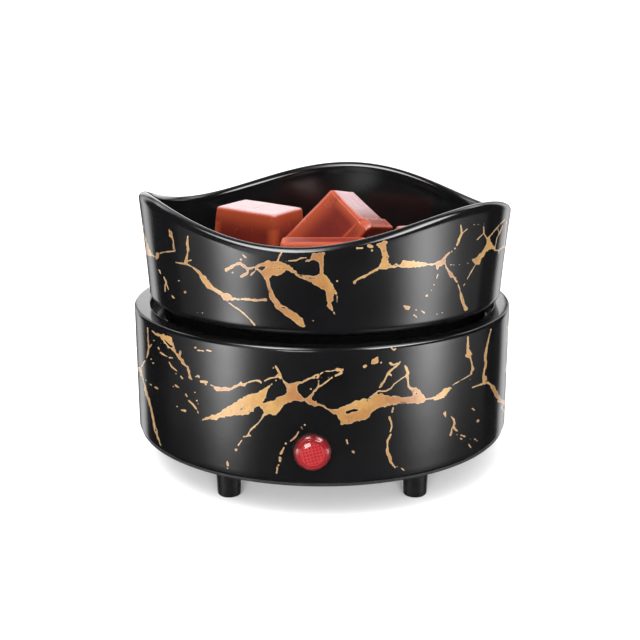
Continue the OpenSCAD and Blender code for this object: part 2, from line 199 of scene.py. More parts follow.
# ------------------------------------------------------------------ materials
def glaze_material(name, foot_z, ring_lo, ring_hi):
    """Black glaze with a little orange peel and pinholes; the foot ring under foot_z is bare stoneware."""
    m, nt, b = new_mat(name)
    p = xyz(nt)
    x2 = mathn(nt, "MULTIPLY", p[0], p[0])
    y2 = mathn(nt, "MULTIPLY", p[1], p[1])
    r = mathn(nt, "SQRT", mathn(nt, "ADD", x2, y2))
    edge = noise(nt, 900, 3)
    zz = mathn(nt, "ADD", p[2], mathn(nt, "MULTIPLY", edge, 0.0005))
    bare = rng_map(nt, zz, foot_z + 0.0001, foot_z + 0.00035, 1.0, 0.0)
    inside = rng_map(nt, r, ring_lo - 0.0002, ring_lo, 0.0, 1.0)
    outside = rng_map(nt, r, ring_hi, ring_hi + 0.0002, 1.0, 0.0)
    bare = mathn(nt, "MULTIPLY", bare, mathn(nt, "MULTIPLY", inside, outside))
    dark = ramp(nt, noise(nt, 45, 5, 0.6), [(0.3, (0.0042, 0.0042, 0.0046)), (0.7, (0.0075, 0.0075, 0.0082))])
    clay = ramp(nt, noise(nt, 1400, 6, 0.7), [(0.3, (0.30, 0.25, 0.20)), (0.7, (0.48, 0.42, 0.35))])
    nt.links.new(mix(nt, bare, dark, clay), b.inputs["Base Color"])
    gl = rng_map(nt, noise(nt, 30, 4), 0.3, 0.7, 0.125, 0.165)
    rough = mathn(nt, "ADD", mathn(nt, "MULTIPLY", gl, mathn(nt, "SUBTRACT", 1.0, bare)), mathn(nt, "MULTIPLY", bare, 0.85))
    nt.links.new(rough, b.inputs["Roughness"])
    n1 = bump(nt, noise(nt, 55, 2, 0.4), 0.10, 0.0012)
    n2 = bump(nt, noise(nt, 620, 3, 0.5), 0.05, 0.0002, n1)
    v = nt.nodes.new("ShaderNodeTexVoronoi")
    v.inputs["Scale"].default_value = 130
    nt.links.new(coords(nt), v.inputs["Vector"])
    pin = rng_map(nt, v.outputs["Distance"], 0.018, 0.04, 0.0, 1.0)
    n3 = bump(nt, pin, 0.25, 0.00015, n2)
    nt.links.new(n3, b.inputs["Normal"])
    b.inputs["Specular IOR Level"].default_value = 0.5
    b.inputs["IOR"].default_value = 1.52
    return m


def gold_material():
    m, nt, b = new_mat("gold_foil")
    big = noise(nt, 75, 3, 0.5)
    fine = noise(nt, 700, 5, 0.65)
    base = ramp(nt, big, [(0.34, (0.36, 0.150, 0.040)), (0.5, (0.44, 0.215, 0.056)), (0.66, (0.53, 0.305, 0.088))])
    mott = ramp(nt, fine, [(0.3, (0.80, 0.78, 0.74)), (0.7, (1.08, 1.06, 1.04))])
    mul = nt.nodes.new("ShaderNodeMix")
    mul.data_type = "RGBA"
    mul.blend_type = "MULTIPLY"
    mul.inputs[0].default_value = 1.0
    nt.links.new(base, mul.inputs[6])
    nt.links.new(mott, mul.inputs[7])
    # painted highlight: a paler gold painted along the outer edge of each vein
    rim = rng_map(nt, attr(nt, "rim"), 0.0, 1.0, 0.0, 0.5)
    gold_with_edge_highlight = mix(nt, rim, mul.outputs[2], (0.60, 0.49, 0.33))
    speck = rng_map(nt, noise(nt, 620, 2, 0.5), 0.69, 0.73, 0.0, 0.85)
    nt.links.new(mix(nt, speck, gold_with_edge_highlight, (0.03, 0.022, 0.014)), b.inputs["Base Color"])
    nt.links.new(rng_map(nt, noise(nt, 300, 4), 0.3, 0.7, 0.30, 0.42), b.inputs["Roughness"])
    b.inputs["Metallic"].default_value = 0.15
    b.inputs["Specular IOR Level"].default_value = 0.5
    b.inputs["Coat Weight"].default_value = 1.0
    b.inputs["Coat Roughness"].default_value = 0.18
    b.inputs["Coat IOR"].default_value = 1.6
    n1 = bump(nt, noise(nt, 900, 5, 0.6), 0.25, 0.0001)
    nt.links.new(n1, b.inputs["Normal"])
    return m


def wax_material(name, r1, r2, spec):
    m, nt, b = new_mat(name)
    body = ramp(nt, noise(nt, 90, 4, 0.5), [(0.3, (0.150, 0.0155, 0.0105)), (0.7, (0.195, 0.023, 0.015))])
    # painted glow: lighter orange painted along the wax's edges, standing in for light shining through the thin wax
    # there
    edge = rng_map(nt, attr(nt, "edge"), 0.0, 1.0, 0.0, 0.85)
    body_with_edge_glow = mix(nt, edge, body, (0.50, 0.088, 0.034))
    # painted sheen: pinkish white painted on the faces where the attribute is set, in place of reflected overhead
    # light
    sheen_mask = mathn(nt, "MULTIPLY", attr(nt, "painted_sheen"), rng_map(nt, noise(nt, 260, 5, 0.6), 0.25, 0.75, 0.75, 1.0))
    nt.links.new(mix(nt, sheen_mask, body_with_edge_glow, (0.56, 0.36, 0.38)), b.inputs["Base Color"])
    nt.links.new(rng_map(nt, noise(nt, 160, 3), 0.3, 0.7, r1, r2), b.inputs["Roughness"])
    b.inputs["Subsurface Weight"].default_value = 0.12
    b.inputs["Subsurface Radius"].default_value = (1.0, 0.25, 0.15)
    b.inputs["Subsurface Scale"].default_value = 0.0025
    b.inputs["IOR"].default_value = 1.45
    b.inputs["Specular IOR Level"].default_value = spec
    n1 = bump(nt, noise(nt, 110, 2, 0.5), 0.16, 0.0012)
    n2 = bump(nt, noise(nt, 1500, 4, 0.6), 0.10, 0.00008, n1)
    nt.links.new(n2, b.inputs["Normal"])
    return m


def lens_material():
    m, nt, b = new_mat("lens_red")
    nt.links.new(ramp(nt, noise(nt, 300, 2), [(0.3, (0.70, 0.075, 0.09)), (0.7, (0.76, 0.10, 0.11))]), b.inputs["Base Color"])
    nt.links.new(rng_map(nt, noise(nt, 500, 2), 0.3, 0.7, 0.02, 0.05), b.inputs["Roughness"])
    b.inputs["Transmission Weight"].default_value = 0.86
    b.inputs["IOR"].default_value = 1.49
    return m


def diffuser_material():
    m, nt, b = new_mat("diffuser_red")
    dot = attr(nt, "dot")
    glow = attr(nt, "glow")
    c = mix(nt, dot, (0.22, 0.03, 0.03), (0.04, 0.004, 0.005))
    nt.links.new(c, b.inputs["Base Color"])
    nt.links.new(rng_map(nt, noise(nt, 900, 3), 0.3, 0.7, 0.35, 0.5), b.inputs["Roughness"])
    nt.links.new(mix(nt, dot, (1.0, 0.75, 0.70), (0.10, 0.03, 0.03)), b.inputs["Emission Color"])
    nt.links.new(rng_map(nt, glow, 0.0, 1.0, 0.0, 0.68), b.inputs["Emission Strength"])
    return m


def plate_material():
    m, nt, b = new_mat("plate_aluminium")
    w = nt.nodes.new("ShaderNodeTexWave")
    w.wave_type = "RINGS"
    w.rings_direction = "Z"
    w.inputs["Scale"].default_value = 420
    w.inputs["Distortion"].default_value = 1.2
    w.inputs["Detail"].default_value = 2
    nt.links.new(coords(nt), w.inputs["Vector"])
    nt.links.new(ramp(nt, noise(nt, 60, 5), [(0.3, (0.62, 0.62, 0.64)), (0.7, (0.78, 0.78, 0.79))]), b.inputs["Base Color"])
    nt.links.new(rng_map(nt, noise(nt, 120, 4), 0.3, 0.7, 0.30, 0.44), b.inputs["Roughness"])
    b.inputs["Metallic"].default_value = 0.9
    n1 = bump(nt, w.outputs["Fac"], 0.25, 0.00008)
    nt.links.new(n1, b.inputs["Normal"])
    return m


GLAZE_BASE = glaze_material("glaze_base", 0.0123, 0.0606, 0.0642)
GLAZE_DISH = glaze_material("glaze_dish", 0.050, 0.0496, 0.0562)
GOLD = gold_material()
WAX = wax_material("wax", 0.20, 0.30, 0.5)
WAX_DULL = wax_material("wax_dull", 0.46, 0.58, 0.22)
MATS = {
    "black_glaze": GLAZE_BASE,
    "plate_aluminium": plate_material(),
    "seal_silicone": plain("seal_silicone", (0.26, 0.26, 0.27), (0.34, 0.34, 0.35), 200, 0.55, 0.7, 400, [(900, 3, 0.15, 0.0001)]),
    "heater_ceramic": plain("heater_ceramic", (0.78, 0.74, 0.66), (0.88, 0.85, 0.78), 260, 0.7, 0.85, 300, [(1600, 5, 0.3, 0.00012)]),
    "bracket_steel": plain("bracket_steel", (0.50, 0.50, 0.52), (0.64, 0.64, 0.66), 130, 0.28, 0.42, 500, [(1200, 4, 0.12, 0.00005)], 1.0),
    "screw_steel": plain("screw_steel", (0.56, 0.56, 0.58), (0.70, 0.70, 0.72), 400, 0.25, 0.4, 700, [(1800, 3, 0.12, 0.00004)], 1.0),
    "fuse_case": plain("fuse_case", (0.70, 0.64, 0.48), (0.80, 0.75, 0.60), 300, 0.25, 0.4, 500, [(1500, 3, 0.1, 0.00004)], 1.0),
    "insulation_fibre": plain("insulation_fibre", (0.78, 0.75, 0.67), (0.92, 0.90, 0.85), 500, 0.85, 0.95, 300, [(2400, 6, 0.6, 0.0003), (300, 3, 0.3, 0.0006)]),
    "contact_brass": plain("contact_brass", (0.66, 0.46, 0.18), (0.80, 0.60, 0.28), 350, 0.22, 0.38, 500, [(1500, 3, 0.1, 0.00004)], 1.0),
    "cover_paint": plain("cover_paint", (0.014, 0.014, 0.015), (0.026, 0.026, 0.027), 500, 0.45, 0.6, 300, [(2600, 4, 0.45, 0.00012)]),
    "foot_rubber": plain("foot_rubber", (0.008, 0.008, 0.009), (0.016, 0.016, 0.017), 400, 0.24, 0.36, 250, [(1300, 4, 0.10, 0.00006)], spec=0.45),
    "black_plastic": plain("black_plastic", (0.004, 0.004, 0.0045), (0.007, 0.007, 0.0075), 300, 0.25, 0.35, 300, [(2200, 4, 0.15, 0.00006)]),
    "terminal_plastic": plain("terminal_plastic", (0.78, 0.75, 0.66), (0.86, 0.84, 0.77), 250, 0.4, 0.5, 300, [(1500, 4, 0.12, 0.00006)]),
    "lens_red": lens_material(),
    "diffuser_red": diffuser_material(),
    "plunger_white": plain("plunger_white", (0.82, 0.82, 0.79), (0.90, 0.90, 0.87), 300, 0.35, 0.45, 300, [(1800, 3, 0.1, 0.00004)]),
    "spring_steel": plain("spring_steel", (0.54, 0.54, 0.57), (0.68, 0.68, 0.70), 900, 0.18, 0.3, 900, [(3000, 2, 0.1, 0.00002)], 1.0),
    "lead_brown": plain("lead_brown", (0.17, 0.075, 0.035), (0.24, 0.11, 0.055), 300, 0.4, 0.52, 400, [(1800, 3, 0.12, 0.00005)]),
    "lead_blue": plain("lead_blue", (0.035, 0.11, 0.42), (0.055, 0.16, 0.52), 300, 0.4, 0.52, 400, [(1800, 3, 0.12, 0.00005)]),
    "lead_black": plain("lead_black", (0.012, 0.012, 0.013), (0.022, 0.022, 0.023), 300, 0.4, 0.52, 400, [(1800, 3, 0.12, 0.00005)]),
    "lead_red": plain("lead_red", (0.52, 0.04, 0.03), (0.64, 0.06, 0.045), 300, 0.4, 0.52, 400, [(1800, 3, 0.12, 0.00005)]),
    "wax_red": WAX,
    "gold_vein": GOLD,
}
_g, _nt, _b = new_mat("lamp_glass")
_nt.links.new(ramp(_nt, noise(_nt, 500, 2), [(0.3, (0.95, 0.72, 0.62)), (0.7, (1.0, 0.80, 0.70))]), _b.inputs["Base Color"])
_b.inputs["Transmission Weight"].default_value = 1.0
_b.inputs["Roughness"].default_value = 0.04
MATS["lamp_glass"] = _g
for n_, o_ in nodes.items():
    o_.data.materials.clear()
    o_.data.materials.append(MATS[SLOT_OF[n_]])


# ------------------------------------------------------------------ mesh helpers
def make_obj(name, verts, faces, mat, smooth=True, sharp_deg=35):
    me = bpy.data.meshes.new(name)
    me.from_pydata([tuple(v) for v in verts], [], faces)
    me.validate()
    me.materials.append(mat)
    o = bpy.data.objects.new(name, me)
    coll.objects.link(o)
    shade(o, smooth, sharp_deg)
    return o


def shade(o, smooth=True, sharp_deg=35):
    me = o.data
    me.polygons.foreach_set("use_smooth", [smooth] * len(me.polygons))
    if smooth and sharp_deg:
        me.set_sharp_from_angle(angle=math.radians(sharp_deg))
    me.update()


def fix_normals(o):
    bm = bmesh.new()
    bm.from_mesh(o.data)
    bmesh.ops.recalc_face_normals(bm, faces=bm.faces)
    bm.to_mesh(o.data)
    bm.free()


def arc(cx, cy, r, a0, a1, n):
    return [(cx + r * math.cos(math.radians(a0 + (a1 - a0) * i / n)), cy + r * math.sin(math.radians(a0 + (a1 - a0) * i / n))) for i in range(n + 1)]


def dense(pts, step):
    """The polyline with no run longer than step."""
    out = [pts[0]]
    for a, b in zip(pts, pts[1:]):
        n = max(1, int(math.ceil(math.hypot(b[0] - a[0], b[1] - a[1]) / step)))
        for i in range(1, n + 1):
            out.append((a[0] + (b[0] - a[0]) * i / n, a[1] + (b[1] - a[1]) * i / n))
    return out


def smooth01(t):
    t = np.clip(t, 0, 1)
    return t * t * (3 - 2 * t)


# ------------------------------------------------------------------ ceramic shapes (millimetres)
BASE_R = 64.95
DISH_DX = 1.0
WAVE, TURN, REAR = 4.73, math.radians(79.7), 0.9


def dish_lift(theta, z):
    return (WAVE * np.cos(3 * (theta - TURN)) + REAR * ((1 + np.sin(theta)) / 2) ** 2) * smooth01((z - 62.0) / 25.1)


def dish_point(theta, r, z):
    return np.stack([DISH_DX + r * np.cos(theta), r * np.sin(theta), z + dish_lift(theta, z)], -1)


def base_point(theta, r, z):
    return np.stack([r * np.cos(theta), r * np.sin(theta), z + 0 * theta], -1)


def lathe(name, prof, nseg, point, mat, loop=False):
    """Turns a profile of (radius, height) round; runs on the axis become poles. loop joins the profile's ends."""
    th = np.linspace(0, 2 * math.pi, nseg, endpoint=False)
    verts, rows = [], []
    for r, z in prof:
        if r < 1e-6:
            rows.append([len(verts)] * nseg)
            verts.append(point(np.array(0.0), 0.0, z))
        else:
            rows.append(list(range(len(verts), len(verts) + nseg)))
            verts.extend(point(th, r, z))
    faces = []
    pairs = list(zip(rows, rows[1:])) + ([(rows[-1], rows[0])] if loop else [])
    for a, b in pairs:
        for k in range(nseg):
            q = [a[k], a[(k + 1) % nseg], b[(k + 1) % nseg], b[k]]
            f = []
            for i in q:
                if i not in f:
                    f.append(i)
            if len(f) >= 3:
                faces.append(f)
    o = make_obj(name, np.array(verts) * MM, faces, mat)
    fix_normals(o)
    shade(o)
    return o


def boolean(o, cutter, op="DIFFERENCE"):
    m = o.modifiers.new("cut", "BOOLEAN")
    m.operation = op
    m.solver = "EXACT"
    m.object = cutter
    bpy.context.view_layer.update()
    dg = bpy.context.evaluated_depsgraph_get()
    me = bpy.data.meshes.new_from_object(o.evaluated_get(dg))
    o.modifiers.remove(m)
    old = o.data
    o.data = me
    bpy.data.meshes.remove(old)
    bpy.data.objects.remove(cutter)


# base: outer wall, lip, recess, shelf and inside
OUT_BASE = arc(64.2 - 0.056, 13.1, 0.8, -90, 0, 8) + arc(63.9 - 0.056, 54.0, 1.1, 0, 90, 12)
base_prof = ([(60.7, 12.3)] + OUT_BASE
             + arc(60.3, 54.3, 0.8, 90, 180, 10)
             + [(58.6, 48.0), (47.0, 48.0), (47.0, 44.5)]
             + arc(57.7, 41.5, 3, 90, 0, 8))
base = lathe("ceramic_base", dense(base_prof, 1.6), 360, base_point, GLAZE_BASE, loop=True)


def cyl_y(name, x, z, r, y0, y1, n=72):
    v, f = [], []
    for y in (y0, y1):
        for k in range(n):
            a = 2 * math.pi * k / n
            v.append(((x + r * math.cos(a)) * MM, y * MM, (z + r * math.sin(a)) * MM))
    f.append(list(range(n)))
    f.append(list(range(2 * n - 1, n - 1, -1)))
    for k in range(n):
        f.append([k, n + k, n + (k + 1) % n, (k + 1) % n])
    o = make_obj(name, v, f, GLAZE_BASE, False)
    fix_normals(o)
    return o


boolean(base, cyl_y("cut_a", -3, 22.6, 6.25, -66, -58.7))
boolean(base, cyl_y("cut_b", 0, 22.6, 5.5, 58.7, 66))
# screw posts, open below
bm = bmesh.new()
bm.from_mesh(base.data)
for px_ in (-30.0, 30.0):
    for py_ in (-44.5, 44.5):
        rows = []
        for r, z in [(1.1, 28.0), (1.1, 15.0), (4.7, 15.0), (5.0, 15.3), (5.0, 41.5), (5.4, 43.2), (6.6, 44.6)]:
            rows.append([bm.verts.new(((px_ + r * math.cos(2 * math.pi * k / 40)) * MM, (py_ + r * math.sin(2 * math.pi * k / 40)) * MM, z * MM)) for k in range(40)])
        bm.faces.new(rows[0][::-1])
        bm.faces.new(rows[-1])
        for a, b in zip(rows, rows[1:]):
            for k in range(40):
                bm.faces.new([a[k], a[(k + 1) % 40], b[(k + 1) % 40], b[k]])
bmesh.ops.recalc_face_normals(bm, faces=bm.faces)
bm.to_mesh(base.data)
bm.free()
base.data.materials.clear()
base.data.materials.append(GLAZE_BASE)
shade(base)
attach(base, "root")
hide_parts("base_shell")

# dish
LIP_C, LIP_R = 60.9, 2.1


def dish_wall_out(n):
    return [(60.7 - 0.02 + 2.3 * (i / n) ** 1.2, 60.2 + 26.9 * i / n) for i in range(n + 1)]


OUT_DISH = arc(57.7 - 0.02, 60.2, 3, -90, 0, 10)[:-1] + dish_wall_out(26) + arc(LIP_C - 0.02, 87.1, LIP_R, 0, 180, 28)[1:-1]
dish_prof = ([(0, 51.5), (49.2, 51.5)] + arc(49.2, 50.9, 0.6, 90, 20, 4) + [(50.6, 50.0), (54.6, 50.0)]
             + arc(54.6, 51.2, 1.2, -90, 0, 5)[1:] + [(55.9, 55.4), (56.2, 56.4)]
             + OUT_DISH
             + [(58.8 - 2.2 * (i / 16) ** 0.9, 87.1 - 20.1 * i / 16) for i in range(17)]
             + arc(46.6, 67, 10, 0, -90, 18)[1:] + [(0, 57.0)])
dish = lathe("ceramic_dish", dense(dish_prof, 2.5), 384, dish_point, GLAZE_DISH)
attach(dish, "dish")
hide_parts("dish")

# ------------------------------------------------------------------ gold veins
# Drawn as strokes (x, y, width), filled patches and holes, in the photograph's pixels where the front shows,
# and grown by rule round the rear and sides.
S, P, H = "S", "P", "H"


def st(w, *pts):
    """A stroke; a point may carry its own width."""
    return (S, [(p[0], p[1], p[2] if len(p) > 2 else w) for p in pts])


def po(*pts):
    return (P, list(pts))


def ho(*pts):
    return (H, list(pts))


def dot(x, y, w=1.6):
    return (S, [(x - 0.15, y, w), (x + 0.15, y, w)])


BASE_VEINS = [
    # left edge
    st(1.6, (147.5, 328), (148.2, 339.8), (148.7, 345.8, 2), (147.9, 353.7), (146.5, 358.1, 1.2)),
    st(1.2, (151.7, 344.3), (149.2, 348.2)),
    st(1.8, (144.8, 361.1), (142.3, 366)),
    st(1.6, (135.4, 364.8), (137.2, 367.6), (139.8, 369)),
    po((137.8, 366.5), (141.3, 367.5), (142.3, 371.4), (141.8, 375.9), (140.3, 376.4), (139.3, 372.4), (136.9, 369.5)),
    st(1.2, (142.1, 375.4), (143.8, 382.3), (145.3, 388.2, 2), (146.2, 393.2, 2.5), (148.7, 399.1, 2), (150.7, 407, 2.2), (152.7, 415.9, 2), (154.4, 426.8, 2)),
    st(1.1, (154.4, 426.8), (154.3, 430.4), (156.3, 433.6)),
    st(1.1, (154.4, 426.8), (157.2, 430.2), (156.9, 433.5)),
    st(2, (156.6, 433.7), (158.1, 438.6), (160.8, 445.6, 1.2)),
    # upper left patch and its tail
    st(1.8, (152.2, 330.9, 1.0), (155.6, 333.9), (160, 335.6)),
    po((155.6, 333.4), (159.6, 333.9), (164.5, 334.9), (171.4, 337.4), (172.9, 340.8), (173.9, 344.8), (175.4, 349.7), (177.4, 354.6), (176.4, 355.1), (173.4, 352.2), (168.5, 348.2), (166, 344.3), (163.5, 340.3), (159.6, 336.9)),
    ho((163.6, 339.2), (166.5, 341.2), (169.5, 344.2), (172.9, 346.2), (172.4, 347.9), (169.5, 346.9), (166.6, 343.6)),
    (H, [(171.5, 343.4), (172.4, 343.4), (172.4, 344.4), (171.5, 344.4)]),
    st(1.6, (180.3, 351.2), (179.8, 354.6, 2.2), (179.2, 356.6, 2.6)),
    st(2.4, (177, 354.6), (178.9, 356.6, 2.6), (181.3, 359.6, 3.2), (184.3, 364.5), (187.7, 367.5), (189.2, 372.4), (189.7, 377.4, 3.2), (192.2, 379.8, 1)),
    dot(154.2, 340.6, 1.8), dot(160.1, 343.3, 1.5), st(1.6, (158.4, 347.5), (159.2, 349.3)),
    st(1.6, (160.6, 352.7), (164.5, 355.1), (168, 357.1)), st(1.6, (169.5, 357.6), (173.9, 358.1)),
    st(1.4, (169.3, 362.1), (171.4, 366.5), (176.9, 370.9)), dot(176.4, 373.4, 1.6), st(1.6, (180.8, 376.4), (182.5, 378.6)),
    dot(151.2, 359.1, 1.2), dot(153, 363, 1.4), dot(146, 380.3, 1.2), st(1.3, (149.7, 383.8), (151.7, 385.3)),
    st(1.6, (155.1, 387.3), (158.1, 388.7)), dot(173.4, 386.5, 1.3), st(1.6, (175.4, 385.3), (178.9, 387.5)),
    # left highlight marks
    dot(195.8, 347.4, 2.2), st(1.4, (197.6, 350.2), (203.6, 350.9)), st(1.6, (206.5, 350.2), (211.5, 351.2)),
    st(2.6, (195.2, 377.0, 1.2), (197.6, 375.9), (198.6, 376.6)), st(2.8, (201.1, 381.8), (206.5, 382.3)), dot(206, 384.6, 2.0),
    st(2, (210.5, 384.8), (212.9, 386.3)),
    st(3.4, (214.9, 387.5, 2.4), (217.6, 388.8, 4.4), (220.8, 389.2, 4.6), (225, 388.8, 4), (229.8, 389.3, 3.6), (232.2, 388.1, 2.5), (237, 385.7, 2.6), (240.9, 384.5, 3), (244.1, 385.3, 2.5), (246.5, 383.3, 2), (249.7, 381.7, 2), (255.3, 380.5, 1.8), (259.7, 380.9, 1.8), (261.4, 383, 1.6)),
    st(1.6, (238.5, 384.6), (241.2, 382.2)),
    st(1.8, (185.8, 394.2), (187.3, 396.6)), st(1.5, (188.7, 400.6), (193.2, 404.5), (196.6, 409)), st(1.5, (197.6, 411), (198.3, 413)),
    dot(195.2, 392.2, 1.4), dot(196.8, 400.6, 1.3), dot(197.8, 404, 1.2), dot(177.2, 406.5, 1.8), st(1.8, (181.3, 410.2), (185.3, 410.8)),
    # big leaf
    po((199, 421.3), (204, 418.4), (211, 414.9), (216.9, 414.2), (220.8, 411.8), (225, 408.2), (230.6, 405.2), (236.2, 401.3), (240.9, 398.1), (246.5, 395.7), (254.5, 392.5), (260.1, 390.1), (264.9, 386.9), (268.9, 385.3), (272.4, 382.9), (273.2, 383.7), (270.9, 386.9), (268.9, 388.5), (267.3, 393.3), (264.9, 398.9), (262.9, 402.8), (266.5, 402.4), (272, 400.5), (276, 398.5), (279.2, 396.1), (285.6, 393.3), (287.2, 391.6), (286.4, 389), (284.4, 385.3), (282.8, 381.6), (288, 382.9), (292.8, 383.3), (296.8, 382.1), (300.8, 380.5), (303.1, 379.7), (308.7, 377.7), (313.5, 375.7), (318.3, 373.3), (320.3, 374.1), (319.5, 377.3), (316.7, 378.4), (311.9, 378.9), (307.9, 380.7), (303.1, 382.9), (299.2, 383.7), (297.2, 386.5), (297.6, 390.1), (300, 394.1), (303.1, 397.3), (305.5, 398.3), (309.5, 397.6), (311.1, 398.5), (315.1, 401.3), (318.3, 403.6), (322.3, 404.8), (327.1, 407.2), (332.2, 409.6), (332, 411.9), (325.5, 409.6), (322.3, 406.9), (319.1, 405.4), (314.3, 406.1), (309.5, 404.4), (306.3, 402), (303.1, 400.6), (298.4, 400.5), (292.8, 401.3), (288, 402.8), (284, 405.2), (280.8, 408.4), (279.2, 412.4), (276, 414.8), (272.8, 415.2), (268.9, 414), (264.9, 415.6), (264.1, 414), (262.9, 410), (260.1, 408.2), (259.3, 406.4), (256.1, 408.4), (252.9, 411.6), (248.1, 414.4), (240.9, 416), (237, 414.6), (233, 415.6), (225, 416.9), (219.9, 417.6), (215.9, 419.7), (207, 419.4), (202, 420.9)),
    (H, [(261.1, 406.7), (262, 406.7), (262, 407.8), (261.1, 407.8)]),
    (H, [(288.3, 384.9), (289.4, 384.9), (289.4, 386), (288.3, 386)]), (H, [(288.3, 386.9), (289.3, 386.9), (289.3, 387.8), (288.3, 387.8)]),
    (H, [(287.3, 390.8), (288.4, 390.8), (288.4, 391.9), (287.3, 391.9)]),
    ho((300.6, 381.3), (302.4, 380.9), (302.6, 381.9), (301, 382.4)), ho((314.8, 376.4), (317.2, 375.6), (317.4, 377), (315.3, 377.6)),
    # thin strand over the dark triangle
    st(1.6, (275.6, 366.2), (277.2, 369.4, 2), (279.2, 372.5, 2.2), (280.8, 375.7), (282.8, 379.7), (284.8, 382.9), (286.8, 386.5), (287.2, 391.1)),
    dot(273.3, 367.8, 1.8),
    po((276, 374.9), (278.4, 372.1), (280.8, 374.9), (282.6, 379.2), (280, 379.2), (277.6, 378), (274.4, 378.3), (272.8, 377.3)),
    (H, [(279, 376.4), (280, 376.4), (280, 377.4), (279, 377.4)]),
    dot(276, 380.4, 1.9), st(1.9, (273.6, 377.5), (269.3, 378.5), (264.9, 380.9, 2.1)),
    # arms right of the node
    st(1.3, (320.1, 374), (323.1, 372), (326.3, 371.2), (330, 371.2), (335, 370.4)),
    po((334.6, 371), (336.3, 368.6), (339.5, 368.3), (343, 368.9), (343, 369.9), (340.4, 371.4), (337.7, 371.5)),
    st(2.4, (335.4, 375.7), (341.3, 372.6)), dot(321.5, 377.7, 1.2), dot(328.4, 377.6, 1.0), dot(311.1, 388.9, 2),
    st(2, (309.9, 397.4, 3), (312.4, 394.2, 2.6), (315.4, 390.4, 2.6), (317.9, 386.9), (321.9, 385.3, 1.6), (325.5, 382.5, 1.5), (331.9, 377.5, 1.8)),
    ho((313.3, 392.7), (314.6, 391.2), (315.3, 392), (313.9, 393.2)),
    st(1.3, (318.7, 380.5), (318.8, 383.2), (318.3, 386.6)),
    # big right patch
    po((330.5, 409.2), (333.2, 408.8), (335.9, 409.6), (340.4, 407.4), (345.7, 404.7), (351.1, 402.5), (355.5, 400.7), (359.1, 401.2), (361.8, 398.9), (365.4, 398), (368.9, 398.5), (370.7, 398), (374.3, 395.4), (377.9, 393.6), (380.5, 392.7), (383.2, 393.6), (385.9, 395.4), (390.4, 396.9), (396, 396.6), (399.2, 395.9), (403.6, 396.8), (407.5, 397.6), (412, 396.1), (412.5, 392.2), (411, 388.4), (416.4, 388.2), (421.4, 391.2), (423.9, 394.2), (425.3, 397.6), (429.3, 397.6), (432.6, 395.9), (434.2, 396.1), (438.2, 393.2), (443.1, 389.2), (448.1, 386.3), (452.5, 385.3), (451, 389.2), (446.1, 394.2), (443.1, 398.1), (439.2, 399.6), (434.2, 400.4), (431.3, 399.6), (426.3, 400.1), (423.4, 403.1), (414.5, 403.6), (407.5, 403.6), (399.6, 404.1), (391.7, 405.5), (384.8, 407.5), (377.9, 408.5), (373.4, 410.5), (371.2, 413.2), (368.9, 416.8), (363.6, 420.8), (358.2, 421.3), (351.1, 423.5), (345.7, 423.9), (340.8, 425.9), (340.2, 421.3), (338.6, 417.7), (335.9, 414.1), (331.6, 412.3)),
    ho((345.7, 411.4), (349.3, 410.1), (353.8, 408.8), (360, 409.6), (356.4, 411.4), (352, 411.9), (348.4, 414.1), (345.7, 413.7)),
    (H, [(348, 420.1), (349.5, 420.1), (349.5, 421.6), (348, 421.6)]),
    ho((415, 392.1), (417.4, 393.1), (416.5, 394.8)),
    (H, [(383.2, 404.5), (384.4, 404.5), (384.4, 405.5), (383.2, 405.5)]), (H, [(387.3, 403.4), (388.3, 403.4), (388.3, 404.4), (387.3, 404.4)]),
    st(1.4, (369.2, 398), (374.4, 394.2), (378.8, 390.7)),
    st(1.6, (378.6, 391), (382.6, 391.4), (386.8, 390.7), (391.2, 388.2), (393.7, 384.3), (397.7, 381.3), (402.6, 377.9), (405.8, 376.2)),
    ho((379.2, 392.6), (382.9, 391.9), (382.6, 392.8), (379.5, 393.5)),
    st(2, (405.1, 366.2), (406.6, 369.5, 2.4), (408, 372.4, 2.5), (406.6, 375.4, 3.6), (407.4, 378.3, 2), (408, 381.3, 1.6), (408.5, 386.3, 1.9), (411.8, 389.4, 2.2)),
    st(2.1, (379.6, 387.5, 1.5), (380.9, 385.3), (384.3, 381.3, 2), (386.3, 376.4, 1.8), (389.8, 371.4, 2), (394.7, 367.5, 2.5), (398.7, 363.6, 2.6), (400.1, 362.1, 2)),
    st(2.3, (389.8, 363), (393.2, 365), (396.2, 363.9), (399.2, 362.7)), st(1.8, (389.8, 374.2), (391.4, 375.2)),
    st(1.9, (391.7, 348.2), (393.7, 350.2), (395.9, 348.5)),
    st(2.6, (364.1, 366.6), (366, 365.4)),
    po((370.7, 364.1), (371.2, 360.1), (374.3, 358.3), (378.3, 356.8), (379.2, 359), (378.8, 361.4), (376.1, 363.2), (373.4, 363.9)), dot(381, 362.8, 2),
    st(1.2, (452, 385.6), (458.9, 381.3), (466.8, 376.9), (472.3, 373.4)),
    st(2, (470.9, 373.2, 1.6), (472.8, 368.5, 2.5), (471.8, 363.5), (470.8, 359.1, 1.5), (470.2, 356.8, 1.6)),
    po((466.3, 350.7), (468.8, 349.5), (471.8, 352.2), (471.8, 354.6), (469.8, 357.8), (466.8, 358.3), (465.8, 355.6)),
    st(2, (467.4, 351), (467.8, 342.8, 2.3), (468, 337.2, 1.4)), dot(470.3, 379.5, 1.2),
    # right vertical and its star
    st(1.4, (490.8, 329.4), (489.1, 336.9), (487.1, 345.8, 1.8), (485.6, 353.7, 2.4), (485.1, 359.6, 2.4), (486.1, 364.5, 2.4), (484.6, 369.5, 1.8), (483.6, 376.4, 2.4)),
    po((482.2, 377.4), (483.6, 375), (485.1, 377.4), (487.3, 375.2), (486.6, 378.4), (485.1, 381.3), (488.6, 383.3), (484.6, 384.9), (481.7, 384.1), (482.2, 380.3)),
